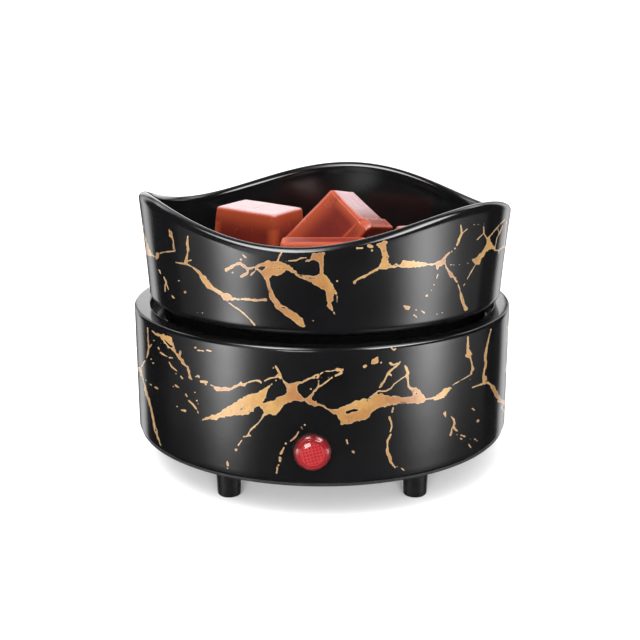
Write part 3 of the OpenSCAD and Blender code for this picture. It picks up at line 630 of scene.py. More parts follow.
    st(2, (482, 384, 2.2), (476.7, 385.8), (472.8, 387.5, 1.6)),
    st(2.5, (487.4, 382.7), (489.6, 383.9, 2.6), (492, 386.3, 3.5), (494.5, 390.2, 4.4), (497, 395.2, 4.4), (498.8, 399.1, 3)),
    po((496, 400.9), (499.4, 397.6), (501.4, 398.6), (503.4, 400.1), (506.4, 398.9), (506.9, 401.1), (504.9, 404.1), (503.4, 406), (501.4, 409), (500.2, 408), (502, 404.1), (499.4, 402.6)),
    st(1.2, (501.6, 408.4), (505.2, 412.9), (506.9, 418.6)),
    st(1.6, (507.6, 359.1), (506.4, 364.5), (505.2, 371.9)), st(1.2, (507.3, 326.5), (506.9, 342.8)),
    # lower marks
    st(1.6, (264.4, 413.6, 2.2), (261.7, 418.8), (257.7, 423.6), (252.1, 428.4, 2), (248.9, 432.4, 2.2), (248.1, 435.3, 2.2)),
    st(1.5, (250.5, 435.6), (247.4, 436), (243.3, 436.8)),
    st(2, (241.7, 440.3), (238.2, 445.5)), dot(236.3, 449.9, 2.9), dot(227.4, 461.1, 1.7), st(2, (227.6, 463.1), (227.8, 465.6)), dot(227.6, 468, 1.5),
    dot(304.7, 424.8, 1.5), dot(301.6, 426.8, 1.4), dot(302.1, 428.6, 1.9), st(2, (298.4, 432), (296, 436.3), (290.4, 441.1)),
    dot(286, 443.5, 2), st(2, (283.9, 447.5), (280.8, 453.5)), st(2.2, (280, 457.9), (280.1, 461.1)), dot(278.3, 465, 1.8), st(2, (277.2, 467.4), (276.7, 472.8)),
    st(2.4, (346.6, 440.4), (347.5, 443.1)), dot(352.9, 451.6, 2.7),
    st(2, (393.2, 408), (392.2, 412)), st(2.2, (389.3, 417.4), (391.2, 421.8), (391.7, 426.8), (390.3, 431.2)),
    st(2.2, (390.8, 434.7), (387.3, 440.6), (387.3, 446.5, 2.4), (387.8, 452.5, 3), (389.8, 457.4, 3.2), (390.8, 462.4, 2.8)), st(1.9, (392.7, 464.3), (394.7, 466.8)),
    dot(397.2, 466.5, 0.9), dot(399.6, 467.3, 0.9), st(1.5, (401.6, 468.3), (404.1, 470.3)),
    po((442.1, 411.5), (443.6, 412.9), (445.6, 411.3), (446.6, 413.9), (445.6, 416.9), (444.1, 414.6)),
    st(2.2, (451, 416.4, 1.6), (454, 419.9), (454.5, 423.8), (453, 426.8, 2.6), (457, 430.7, 2.2)), st(2, (452.2, 427.2), (450.5, 435.2)),
    dot(457, 434.7, 1.2), st(2, (460.9, 435.2), (465.4, 436.7)), st(1.5, (459.9, 438.1), (461.9, 439.1)), dot(470.3, 438.8, 1),
    st(1.5, (474.7, 439.1), (477.2, 440.6)), st(1.3, (468.8, 444.6), (470.8, 447.5)), st(1.6, (472.3, 408.5), (474.2, 410)), dot(477.5, 420.7, 2.6),
]

DISH_VEINS = [
    # left edge V and arrow
    st(1.2, (143.1, 225.3), (143.1, 232), (145, 237.4, 1.6), (146.6, 243.8, 2), (148.5, 247.6, 2)),
    po((144.3, 247.6), (146.8, 246.5), (149.1, 247.5), (150.5, 251), (152.3, 254.3), (154.6, 255.6), (155.3, 257.8), (153.8, 257.6), (151.5, 255.8), (150.4, 257.3), (147.2, 254.6), (144.7, 250.8)),
    po((155.2, 254.6), (157.4, 251.8), (160, 252.1), (159.7, 255.3), (158.1, 257.8), (156.1, 259.1)),
    st(1.6, (159.5, 253.4), (164.4, 252.1), (169.5, 251.5), (174, 251.1), (175.3, 250.2)),
    st(1.4, (174, 248.3, 2.5), (173.4, 241.9), (172.1, 236.1)),
    po((168.3, 227.9), (172.7, 233.6), (172.1, 236.1), (170.2, 236.8), (168.3, 234.9)),
    # second strand down to the long diagonal
    st(1.6, (187.7, 236.1), (187.7, 239.3), (187.4, 243.2, 3), (187.7, 246.4, 1.6), (188.4, 249.5, 3), (187.7, 253.4, 1.6), (186.8, 257.2, 2), (186.4, 261.7, 4)),
    st(1.3, (187, 261.2), (191.2, 260.1)), st(1.5, (175.9, 262.3), (181, 263.3), (186, 263.9)),
    st(1.6, (186.4, 263.4, 2.4), (189.3, 265.5), (192.5, 267.1), (196.3, 270, 2.2), (199.2, 272.8, 3), (202.7, 277.6, 5), (207.8, 283.3, 6), (211, 287.5, 5)),
    st(1.5, (212.3, 287), (218, 290.7), (221, 292)), st(1.5, (211.5, 288.9), (219.3, 293.5), (222, 295)),
    po((220, 291.1), (224.2, 292.5), (229.1, 293.5), (234, 296.7), (237.5, 299.5), (233.3, 300.2), (227, 301.6), (222.8, 300.2), (222.1, 296)),
    st(1.5, (237, 299.4), (243.9, 298.8, 2.8), (250.9, 299.8, 2.4), (257.9, 300.2, 2.8), (263.6, 299.6, 2.2), (265.4, 299.5, 3.8)),
    st(1.6, (226.6, 301.2), (234, 306.5), (241.1, 311.1), (246.7, 316.3), (250.9, 320.5), (254.4, 324.7)),
    # ragged ring
    st(2.6, (226.3, 270, 3), (230.5, 267.9), (234, 265.1), (240.4, 263), (243.9, 265.8), (247.4, 268.6), (250.9, 268.6), (253.7, 267.2)),
    st(2.4, (247.4, 268.6), (248.1, 272.8), (244.6, 274.9), (241.1, 276.3)), st(2, (255.1, 270.7), (250.9, 274.9)),
    dot(232.6, 272.5, 1.8), dot(240.7, 259.5, 1.8), st(1.5, (242.5, 254.6), (246, 257.4)),
    # big patch and its leaf
    po((253, 267.9), (256.5, 264.7), (262.1, 262.3), (269.1, 260.9), (276.1, 261.2), (285.3, 262.3), (289.5, 265.1), (294.4, 270), (297.2, 273.5), (301.4, 274.9), (306.4, 275.2), (312.8, 275.8), (317.2, 275.2), (320, 284), (323.2, 290.4), (318.2, 287.6), (311.2, 283.1), (304.2, 279.8), (298.6, 277), (294.4, 273.5), (290.2, 271.4), (286, 270.4), (283.2, 272.8), (279.6, 275.6), (271.9, 275.6), (269.1, 278.4), (269.1, 281.9), (267.7, 286.1), (265.6, 280.5), (262.1, 274.9), (256.5, 270)),
    ho((257.2, 268.2), (260.7, 266.1), (266.3, 266.5), (262.1, 271.1)),
    (H, [(273.8, 265.7), (275, 265.7), (275, 267.3), (273.8, 267.3)]), (H, [(279, 267.4), (280.2, 267.4), (280.2, 269), (279, 269)]),
    (H, [(283.3, 268), (284.5, 268), (284.5, 269.2), (283.3, 269.2)]), (H, [(303.3, 276.8), (304.5, 276.8), (304.5, 278), (303.3, 278)]),
    ho((308.4, 277.5), (315.4, 277.7), (315.4, 278.7), (308.4, 278.6)),
    st(3.5, (268.4, 280.7, 3), (268.4, 284.7, 3.4), (270.5, 289.6, 4), (271.9, 296.7, 5), (275.4, 302.3, 5.4), (279.6, 307.2, 6), (285.3, 310.7, 7.4), (293, 315.6, 8.4), (299.3, 321.2, 7.6), (303.4, 325.6, 3.2)),
    ho((274.6, 299.2), (275.4, 299), (276.4, 301.3), (275.6, 301.6)), ho((281, 306.6), (285.6, 307.6), (285.4, 308.8), (281.2, 307.9)),
    (H, [(292.6, 320.3), (294, 320.3), (294, 321.6), (292.6, 321.6)]),
    st(2, (277.2, 261.6), (279.6, 256), (281.8, 252.5, 1.4)),
    st(1.5, (284.6, 262), (287.3, 261), (295.8, 260.5), (301.4, 257.9), (306.3, 257.7)), dot(313, 320.6, 1.8),
    # central funnel
    po((312.1, 254.1), (312.8, 253.2), (326.5, 252.2), (324.6, 254.1), (323.6, 258.6), (324.2, 263.1), (323.6, 268.2), (323.3, 272.6), (326.8, 276.5), (330.6, 281.6), (333.8, 286), (336.4, 291.1), (336.7, 293.4), (334.4, 294.3), (333.2, 295.6), (333.5, 300.7), (331.3, 302.6), (331.9, 307.1), (334.4, 311.5), (337, 316.6), (331.9, 311.5), (327.4, 305.8), (326.5, 301.3), (326.5, 296.2), (324.9, 291.8), (322.3, 290.2), (317.9, 286.7), (311.5, 282.8), (305.1, 279.6), (300, 277.7), (300, 274.5), (306.4, 275.2), (312.8, 275.8), (317.2, 275.2), (319.8, 272.6), (319.1, 268.2), (319.8, 264.3), (317.9, 261.1), (313.4, 259.9), (308.9, 262.1), (305.1, 261.1), (307, 259.2), (310.2, 258.6)),
    st(1.2, (336.4, 292.6), (337.2, 297.4), (336.8, 302.6)), dot(337, 281.2, 1.9),
    # right T and its arms
    dot(354.2, 282.2, 3), st(2, (355.4, 281), (358.7, 279), (364.4, 276.5, 2.4), (367.6, 274.5), (372.1, 272, 2.3), (377.8, 268.8, 2.6)),
    po((374, 243.3), (378.4, 243.3), (382.9, 241.4), (388, 240.4), (388.3, 242), (386.4, 244.9), (387.1, 250.3), (388.6, 256.7), (388, 260.5), (389.3, 263.1), (392.5, 264.3), (396.6, 263.8), (400.7, 263.8), (403.2, 260.1), (413.2, 260.9), (423.1, 262.6), (431.4, 263.8), (438, 261.4), (441.4, 259.3), (443.8, 257.2), (446, 261), (445.5, 264.7), (443.8, 264.7), (439.7, 266.3), (436.4, 264.7), (429.8, 265.5), (421.5, 266.7), (413.2, 267.6), (404.9, 268), (396.6, 267.2), (389.3, 268.8), (382.9, 269.4), (378.1, 269.1), (381, 261.8), (382.3, 256.7), (380.4, 250.3), (379.1, 247.1), (376.5, 245.2)),
    ho((394, 265.2), (397.4, 264.9), (397.4, 265.8), (394, 266)),
    st(2, (437.2, 265), (437.2, 268.4)), st(2.2, (443.2, 259), (447.5, 254.4), (451.3, 251.4)), dot(455, 248.5, 2),
    st(2, (456.7, 245.2), (459.6, 238.1), (461.7, 234, 2.4), (460.8, 224.9, 1.4)), st(1.2, (461.4, 234), (464.6, 231.2), (467.1, 229)),
    st(2, (445, 263.9, 2.4), (448, 270.5, 2), (450.5, 274.6, 3.8), (454.6, 277.9, 3), (457.9, 283.7, 2), (460, 291.2, 2), (462.1, 299.1, 2.8), (463.7, 304.5, 2), (465.4, 308.6, 3.8)),
    ho((461.6, 297.6), (462.6, 297.4), (463, 299.4), (462.2, 299.6)),
    st(2, (357.4, 248.1), (362.5, 248.3)), st(3, (368.2, 246.2), (371.7, 246.2)), dot(372.1, 250.6, 2),
    st(1, (450, 264.7), (453.8, 264.9)), dot(459.6, 264.7, 1.3), dot(467.9, 263.4, 1.2),
    st(1.3, (438, 273.8), (436.4, 278.4)), dot(433.9, 284.6, 1.3), dot(431.4, 290, 1.4), dot(426.4, 295.8, 2.4),
    st(1.6, (404, 306), (406.5, 307.6, 3.4), (409.4, 307), (408.4, 309.6, 1.4)), dot(416.1, 309.9, 1.6), st(1.6, (421.6, 311), (424.4, 312.8)),
    st(1.5, (413.9, 315), (416.6, 317.2)), dot(436.8, 314, 2), dot(442.2, 312.8, 1.2),
    # right star
    po((472, 259.7), (475.4, 264.7), (478.7, 265.1), (480.7, 263), (482.8, 257.2), (487, 252.2), (491.1, 248.9), (495.3, 250.6), (496.1, 248.5), (492.8, 244.8), (490.3, 240.6), (488.6, 237.3), (487, 238.1), (486.6, 243.9), (483.7, 249.8), (478.7, 255.6), (473.7, 258.9)),
    st(1, (475.4, 264.7, 1.4), (469.6, 274.6), (462.9, 287.1)), st(1.3, (486.6, 237.8, 1.6), (483.7, 233.2), (483.7, 226.5, 1)),
    st(1.1, (483.7, 233.2), (477, 239.8)), st(1, (472.5, 224.7), (478.7, 224.3)), dot(484, 224.2, 1.2),
    st(1.4, (488.2, 238, 1.8), (496.1, 229), (499.4, 224.9), (504.8, 219.5)), st(1, (497.7, 229), (499.4, 233.2), (502.7, 225.7)),
    st(1, (495.3, 246), (496.9, 238.1), (501.1, 229.9)), st(1.8, (494.6, 249.8, 2.2), (498.6, 250.6), (503.5, 246.4), (506, 248.1)), st(1, (498.4, 250.6), (499, 253.6)),
    st(1, (504, 246), (505.2, 233.2), (506.5, 220.7)),
    # small marks on the left
    st(1.3, (159.3, 269.9), (160.9, 273.8)), st(1.2, (163.8, 277), (166.4, 282.7, 1.6), (165.1, 285.3), (165.1, 291.6)), st(1.1, (166.2, 283.4), (168.6, 289.7)),
    st(1.4, (172.1, 296.1), (174.6, 298.3)), dot(179.1, 280.5, 1.8), dot(185.2, 292, 2), dot(197.6, 312.4, 1.3), dot(202.6, 312.8, 1.0),
]


def seg_distance(u, v, a, b):
    """Distance of (u, v) to a tapered stroke piece: negative inside."""
    ax, ay, aw = a
    bx, by, bw = b
    dx, dy = bx - ax, by - ay
    l2 = dx * dx + dy * dy + 1e-9
    t = np.clip(((u - ax) * dx + (v - ay) * dy) / l2, 0, 1)
    d = np.hypot(u - ax - t * dx, v - ay - t * dy)
    return d - (aw + (bw - aw) * t) / 2, (aw + (bw - aw) * t) / 2


def poly_distance(u, v, pts):
    """Signed distance to a closed outline, negative inside."""
    d = np.full(u.shape, 1e9)
    inside = np.zeros(u.shape, bool)
    n = len(pts)
    for i in range(n):
        ax, ay = pts[i]
        bx, by = pts[(i + 1) % n]
        dx, dy = bx - ax, by - ay
        t = np.clip(((u - ax) * dx + (v - ay) * dy) / (dx * dx + dy * dy + 1e-9), 0, 1)
        d = np.minimum(d, np.hypot(u - ax - t * dx, v - ay - t * dy))
        if ay != by:
            c = ((ay > v) != (by > v)) & (u < (bx - ax) * (v - ay) / (by - ay) + ax)
            inside ^= c
    return np.where(inside, -d, d)


def draw(field, u, v, ok, shapes, unit, rough, fine):
    """Adds the shapes to the signed field. unit is millimetres per unit of u and v; rough and fine are noise, -1 to 1."""
    holes = np.full(field.shape, 9.0)
    for kind, pts in shapes:
        xs, ys = [p[0] for p in pts], [p[1] for p in pts]
        pad = 3.0 / unit
        m = ok & (u > min(xs) - pad) & (u < max(xs) + pad) & (v > min(ys) - pad) & (v < max(ys) + pad)
        if not m.any():
            continue
        uu, vv = u[m], v[m]
        if kind == S:
            best = np.full(uu.shape, 9e9)
            for a, b in zip(pts, pts[1:]):
                d, w = seg_distance(uu, vv, a, b)
                d = d * unit
                w = w * unit
                d = d + 0.05 - np.minimum(0.27, 0.5 * w) * rough[m] - np.minimum(0.20, 0.42 * w) * fine[m]
                best = np.minimum(best, d)
            field[m] = np.minimum(field[m], best)
        elif kind == P:
            d = poly_distance(uu, vv, pts) * unit + 0.05 - 0.30 * rough[m] - 0.24 * fine[m]
            field[m] = np.minimum(field[m], d)
        else:
            d = poly_distance(uu, vv, pts) * unit - 0.05 * rough[m]
            holes[m] = np.minimum(holes[m], d)
    return np.maximum(field, -holes)


def value_noise(rng, nu, nv, su, sv):
    """Smooth noise on a grid of nu by nv, wrapped along u, with features of su by sv cells."""
    gu, gv = max(4, int(round(nu / su))), int(nv / sv) + 3
    g = rng.uniform(-1, 1, (gu, gv))
    u = np.arange(nu) * gu / nu
    v = np.arange(nv) / sv
    i, fu = np.floor(u).astype(int), u - np.floor(u)
    j, fv = np.floor(v).astype(int), v - np.floor(v)
    fu, fv = fu * fu * (3 - 2 * fu), fv * fv * (3 - 2 * fv)
    a = g[i % gu][:, j] * (1 - fu)[:, None] + g[(i + 1) % gu][:, j] * fu[:, None]
    b = g[i % gu][:, j + 1] * (1 - fu)[:, None] + g[(i + 1) % gu][:, j + 1] * fu[:, None]
    return a * (1 - fv) + b * fv


def grow(rng, x, y, ang, length, w, depth, lo, hi, out):
    """A vein that wanders in millimetres, swells here and there, branches and breaks into dashes at its end."""
    n = int(length / 2.1)
    pts = [(x, y, w * 0.7)]
    swell_at = rng.integers(2, max(3, n - 1)) if rng.random() < 0.75 else -9
    for i in range(n):
        ang += rng.normal(0, 0.23) + (rng.choice([-1, 1]) * rng.uniform(0.4, 0.9) if rng.random() < 0.16 else 0)
        nx, ny = x + 2.1 * math.cos(ang), y + 2.1 * math.sin(ang)
        if not lo < ny < hi:
            if depth == 0 and len(pts) > 6:
                break
            ang = -ang
            nx, ny = x + 2.1 * math.cos(ang), y + 2.1 * math.sin(ang)
        x, y = nx, ny
        ww = w * rng.uniform(0.55, 1.25) * (1 - 0.5 * i / n)
        if abs(i - swell_at) <= 2:
            ww += (w * 2.6 + 0.5) * (1 - abs(i - swell_at) / 3.2)
        pts.append((x, y, max(0.3, ww)))
        if depth < 2 and rng.random() < 0.17:
            grow(rng, x, y, ang + rng.choice([-1, 1]) * rng.uniform(0.7, 1.5), length * rng.uniform(0.25, 0.5), w * 0.7, depth + 1, lo, hi, out)
            if rng.random() < 0.5:
                out.append((P, [(x + rr * math.cos(t), y + rr * math.sin(t)) for t, rr in ((k * 1.05 + rng.uniform(-0.3, 0.3), rng.uniform(0.5, 1.5)) for k in range(6))]))
    if len(pts) > 1:
        out.append((S, pts))
    for i in range(rng.integers(1, 5)):
        x, y = x + rng.uniform(1.4, 2.6) * math.cos(ang), y + rng.uniform(1.4, 2.6) * math.sin(ang)
        if lo < y < hi:
            l = rng.uniform(0.1, 1.0)
            out.append((S, [(x, y, 0.45), (x + l * math.cos(ang), y + l * math.sin(ang), 0.4)]))


def foil(name, prof, point, radius, shapes, seed, starts, body, lo, hi, cell=0.27):
    """Thin gold sheets that lie on a turned surface, cut out along the drawn outlines."""
    prof = np.array(dense(prof, 0.05))
    seg = np.hypot(*np.diff(prof, axis=0).T)
    s = np.concatenate([[0], np.cumsum(seg)])
    nv = int(s[-1] / cell) + 1
    nu = int(2 * math.pi * radius / cell)
    tt = np.linspace(0, s[-1], nv)
    pr, pz = np.interp(tt, s, prof[:, 0]), np.interp(tt, s, prof[:, 1])
    tr, tz = np.gradient(pr, tt), np.gradient(pz, tt)
    ln = np.hypot(tr, tz)
    nr, nz = tz / ln, -tr / ln
    th = np.arange(nu) * 2 * math.pi / nu
    TH, _ = np.meshgrid(th, tt, indexing="ij")
    R, Z = np.broadcast_to(pr, TH.shape), np.broadcast_to(pz, TH.shape)
    pos = point(TH, R, Z)
    NR = np.broadcast_to(nr, TH.shape)
    nrm = np.stack([np.cos(TH) * NR, np.sin(TH) * NR, np.broadcast_to(nz, TH.shape)], -1)
    eye = np.array([CX, CY, CZ]) - pos
    facing = (eye * nrm).sum(-1) / np.linalg.norm(eye, axis=-1)
    u, v = proj(pos)
    rng = np.random.default_rng(seed)
    rough = 0.65 * value_noise(rng, nu, nv, 4.5, 4.5) + 0.35 * value_noise(rng, nu, nv, 10, 10)
    fine = value_noise(rng, nu, nv, 1.8, 1.8)
    field = np.full(TH.shape, 9.0)
    field = draw(field, u, v, facing > 0.03, shapes, 0.303, rough, fine)
    grown = []
    for x, y, a, l, w in starts:
        grow(rng, x, y, a, l, w, 0, lo, hi, grown)
    # rear coordinates: arc length from +X counterclockwise, height up the profile
    U = TH * radius
    back = (facing < 0.02)
    f2 = np.full(TH.shape, 9.0)
    f2 = draw(f2, U, Z, back, grown, 1.0, rough, fine)
    field = np.where(back, np.minimum(field, f2), field)
    field[:, 0] = 9.0
    field[:, -1] = 9.0
    inside = field < 0
    verts, vid = [], {}

    def corner(i, j):
        k = (i % nu, j)
        if k not in vid:
            vid[k] = len(verts)
            verts.append((float(i % nu), float(j), field[k]))
        return vid[k]

    def cross(i0, j0, i1, j1):
        a, b = (i0 % nu, j0), (i1 % nu, j1)
        k = (a, b) if a < b else (b, a)
        if k not in vid:
            fa, fb = field[a], field[b]
            t = min(0.92, max(0.08, fa / (fa - fb)))
            vid[k] = len(verts)
            verts.append(((i0 + (i1 - i0) * t), j0 + (j1 - j0) * t, 0.0))
        return vid[k]

    ip = np.roll(inside, -1, 0)
    cells = inside[:, :-1] | inside[:, 1:] | ip[:, :-1] | ip[:, 1:]
    polys = []
    for i, j in zip(*np.nonzero(cells)):
        c = [(i, j), (i + 1, j), (i + 1, j + 1), (i, j + 1)]
        ins = [inside[p[0] % nu, p[1]] for p in c]
        f = []
        for k in range(4):
            a, b = c[k], c[(k + 1) % 4]
            if ins[k]:
                f.append(corner(*a))
            if ins[k] != ins[(k + 1) % 4]:
                f.append(cross(*a, *b))
        if len(f) >= 3:
            polys.append(f)
    # drop specks too small to be a mark
    V = np.array(verts)
    parent = list(range(len(verts)))

    def find(a):
        while parent[a] != a:
            parent[a] = parent[parent[a]]
            a = parent[a]
        return a

    for f in polys:
        r0 = find(f[0])
        for k in f[1:]:
            parent[find(k)] = r0
    size = {}
    for f in polys:
        size[find(f[0])] = size.get(find(f[0]), 0) + (1 if len(f) == 4 else 0.6)
    polys = [f for f in polys if size[find(f[0])] * cell * cell > 0.09]
    used = sorted({k for f in polys for k in f})
    remap = {k: i for i, k in enumerate(used)}
    polys = [[remap[k] for k in f] for f in polys]
    V = V[used]
    theta = V[:, 0] * 2 * math.pi / nu
    tv = V[:, 1] * s[-1] / (nv - 1)
    r_, z_ = np.interp(tv, tt, pr), np.interp(tv, tt, pz)
    n_r, n_z = np.interp(tv, tt, nr), np.interp(tv, tt, nz)
    p = point(theta, r_, z_)
    nn = np.stack([np.cos(theta) * n_r, np.sin(theta) * n_r, n_z], -1)
    top, bottom = p + nn * 0.035, p - nn * 0.03
    n = len(p)
    count = {}
    for f in polys:
        for a, b in zip(f, f[1:] + f[:1]):
            count[(a, b)] = count.get((a, b), 0) + 1
    border = [(a, b) for (a, b) in count if (b, a) not in count]
    faces = [f for f in polys] + [[k + n for k in reversed(f)] for f in polys] + [[b, a, a + n, b + n] for a, b in border]
    me = bpy.data.meshes.new(name)
    me.from_pydata([tuple(q) for q in np.concatenate([top, bottom]) * MM], [], faces)
    me.materials.append(GOLD)
    flat = [True] * (2 * len(polys)) + [False] * len(border)
    me.polygons.foreach_set("use_smooth", flat)
    es = {tuple(sorted(e)) for e in border} | {(min(a, b) + n, max(a, b) + n) for a, b in border}
    sharp = me.attributes.new("sharp_edge", "BOOLEAN", "EDGE")
    ev = np.zeros(len(me.edges) * 2, np.int32)
    me.edges.foreach_get("vertices", ev)
    ev = np.sort(ev.reshape(-1, 2), axis=1)
    sharp.data.foreach_set("value", [tuple(e) in es for e in ev.tolist()])
    # the outermost 0.22 mm of each vein gets the painted edge highlight of the gold material
    rim = np.clip(1 + V[:, 2] / 0.22, 0, 1)
    at = me.attributes.new("rim", "FLOAT", "POINT")
    at.data.foreach_set("value", np.concatenate([rim, rim]).astype(np.float32))
    me.update()
    o = bpy.data.objects.new(name, me)
    coll.objects.link(o)
    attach(o, body)
    print(name, len(polys), "cells")
    return o


# arc length positions run from +X counterclockwise; the rear is a quarter turn on, at 1.57 * radius
base_starts = [(4, 52, -1.2, 50, 0.9), (52, 15, 0.9, 50, 0.8), (84, 52, -0.9, 60, 1.2),
               (140, 52, -2.1, 60, 1.1), (168, 14, 2.0, 50, 0.9), (190, 50, -1.0, 50, 0.9)]
dish_starts = [(6, 84, -1.2, 45, 0.8), (58, 62, 0.8, 45, 0.8), (80, 86, -1.0, 55, 1.1), (112, 62, 1.1, 40, 0.9),
               (158, 62, 2.0, 40, 0.8), (178, 82, -1.1, 45, 0.9)]
OUT_BASE_FOIL = arc(64.2 - 0.056, 13.1, 0.8, -50, 0, 8) + arc(63.9 - 0.056, 54.0, 1.1, 0, 50, 8)
OUT_DISH_FOIL = arc(57.7 - 0.02, 60.2, 3, -60, 0, 10)[:-1] + dish_wall_out(60) + arc(LIP_C - 0.02, 87.1, LIP_R, 0, 40, 8)[1:]
foil("gold_veins_base", OUT_BASE_FOIL, base_point, 65.0, BASE_VEINS, 11, base_starts, "root", 13.2, 53.0)
foil("gold_veins_dish", OUT_DISH_FOIL, dish_point, 62.0, DISH_VEINS, 23, dish_starts, "dish", 58.5, 86.5)


# ------------------------------------------------------------------ wax melts
def ring(a, b, c, style, n_edge=9, n_corner=10):
    """Outline of a rectangle of half sides a and b whose corners are rounded by c, or cut with two soft creases."""
    c = max(0.12, min(c, a - 0.3, b - 0.3))
    # edge holds each outline point's share of the painted edge glow: full round the corners, fading along the sides
    pts, edge = [], []
    for q, (sx, sy) in enumerate(((1, 1), (-1, 1), (-1, -1), (1, -1))):
        cx, cy = sx * (a - c), sy * (b - c)
        base_a = q * 90
        for i in range(n_corner + 1):
            t = i / n_corner
            ang = math.radians(base_a + 90 * t)
            x, y = cx + c * math.cos(ang), cy + c * math.sin(ang)
            if style == "crease":
                # flatten the middle of the corner towards its chord, leaving tight bends at both ends
                k = smooth01(np.array((0.5 - abs(t - 0.5)) / 0.16)).item()
                e0 = (cx + c * math.cos(math.radians(base_a)), cy + c * math.sin(math.radians(base_a)))
                e1 = (cx + c * math.cos(math.radians(base_a + 90)), cy + c * math.sin(math.radians(base_a + 90)))
                tx, ty = e0[0] + (e1[0] - e0[0]) * t, e0[1] + (e1[1] - e0[1]) * t
                x, y = x + (tx - x) * k * 0.8, y + (ty - y) * k * 0.8
            pts.append((x, y))
            edge.append(1.0)
        nxt = ((-sx, sy) if q % 2 == 0 else (sx, -sy))
        ncx, ncy = nxt[0] * (a - c), nxt[1] * (b - c)
        ang = math.radians(base_a + 90)
        p0 = (cx + c * math.cos(ang), cy + c * math.sin(ang))
        p1 = (ncx + c * math.cos(ang), ncy + c * math.sin(ang))
        ln = math.hypot(p1[0] - p0[0], p1[1] - p0[1])
        for i in range(1, n_edge):
            t = 0.5 - 0.5 * math.cos(math.pi * i / n_edge)
            pts.append((p0[0] + (p1[0] - p0[0]) * t, p0[1] + (p1[1] - p0[1]) * t))
            d = min(t, 1 - t) * ln
            edge.append(math.exp(-(d / 1.6) ** 2))
    return pts, edge


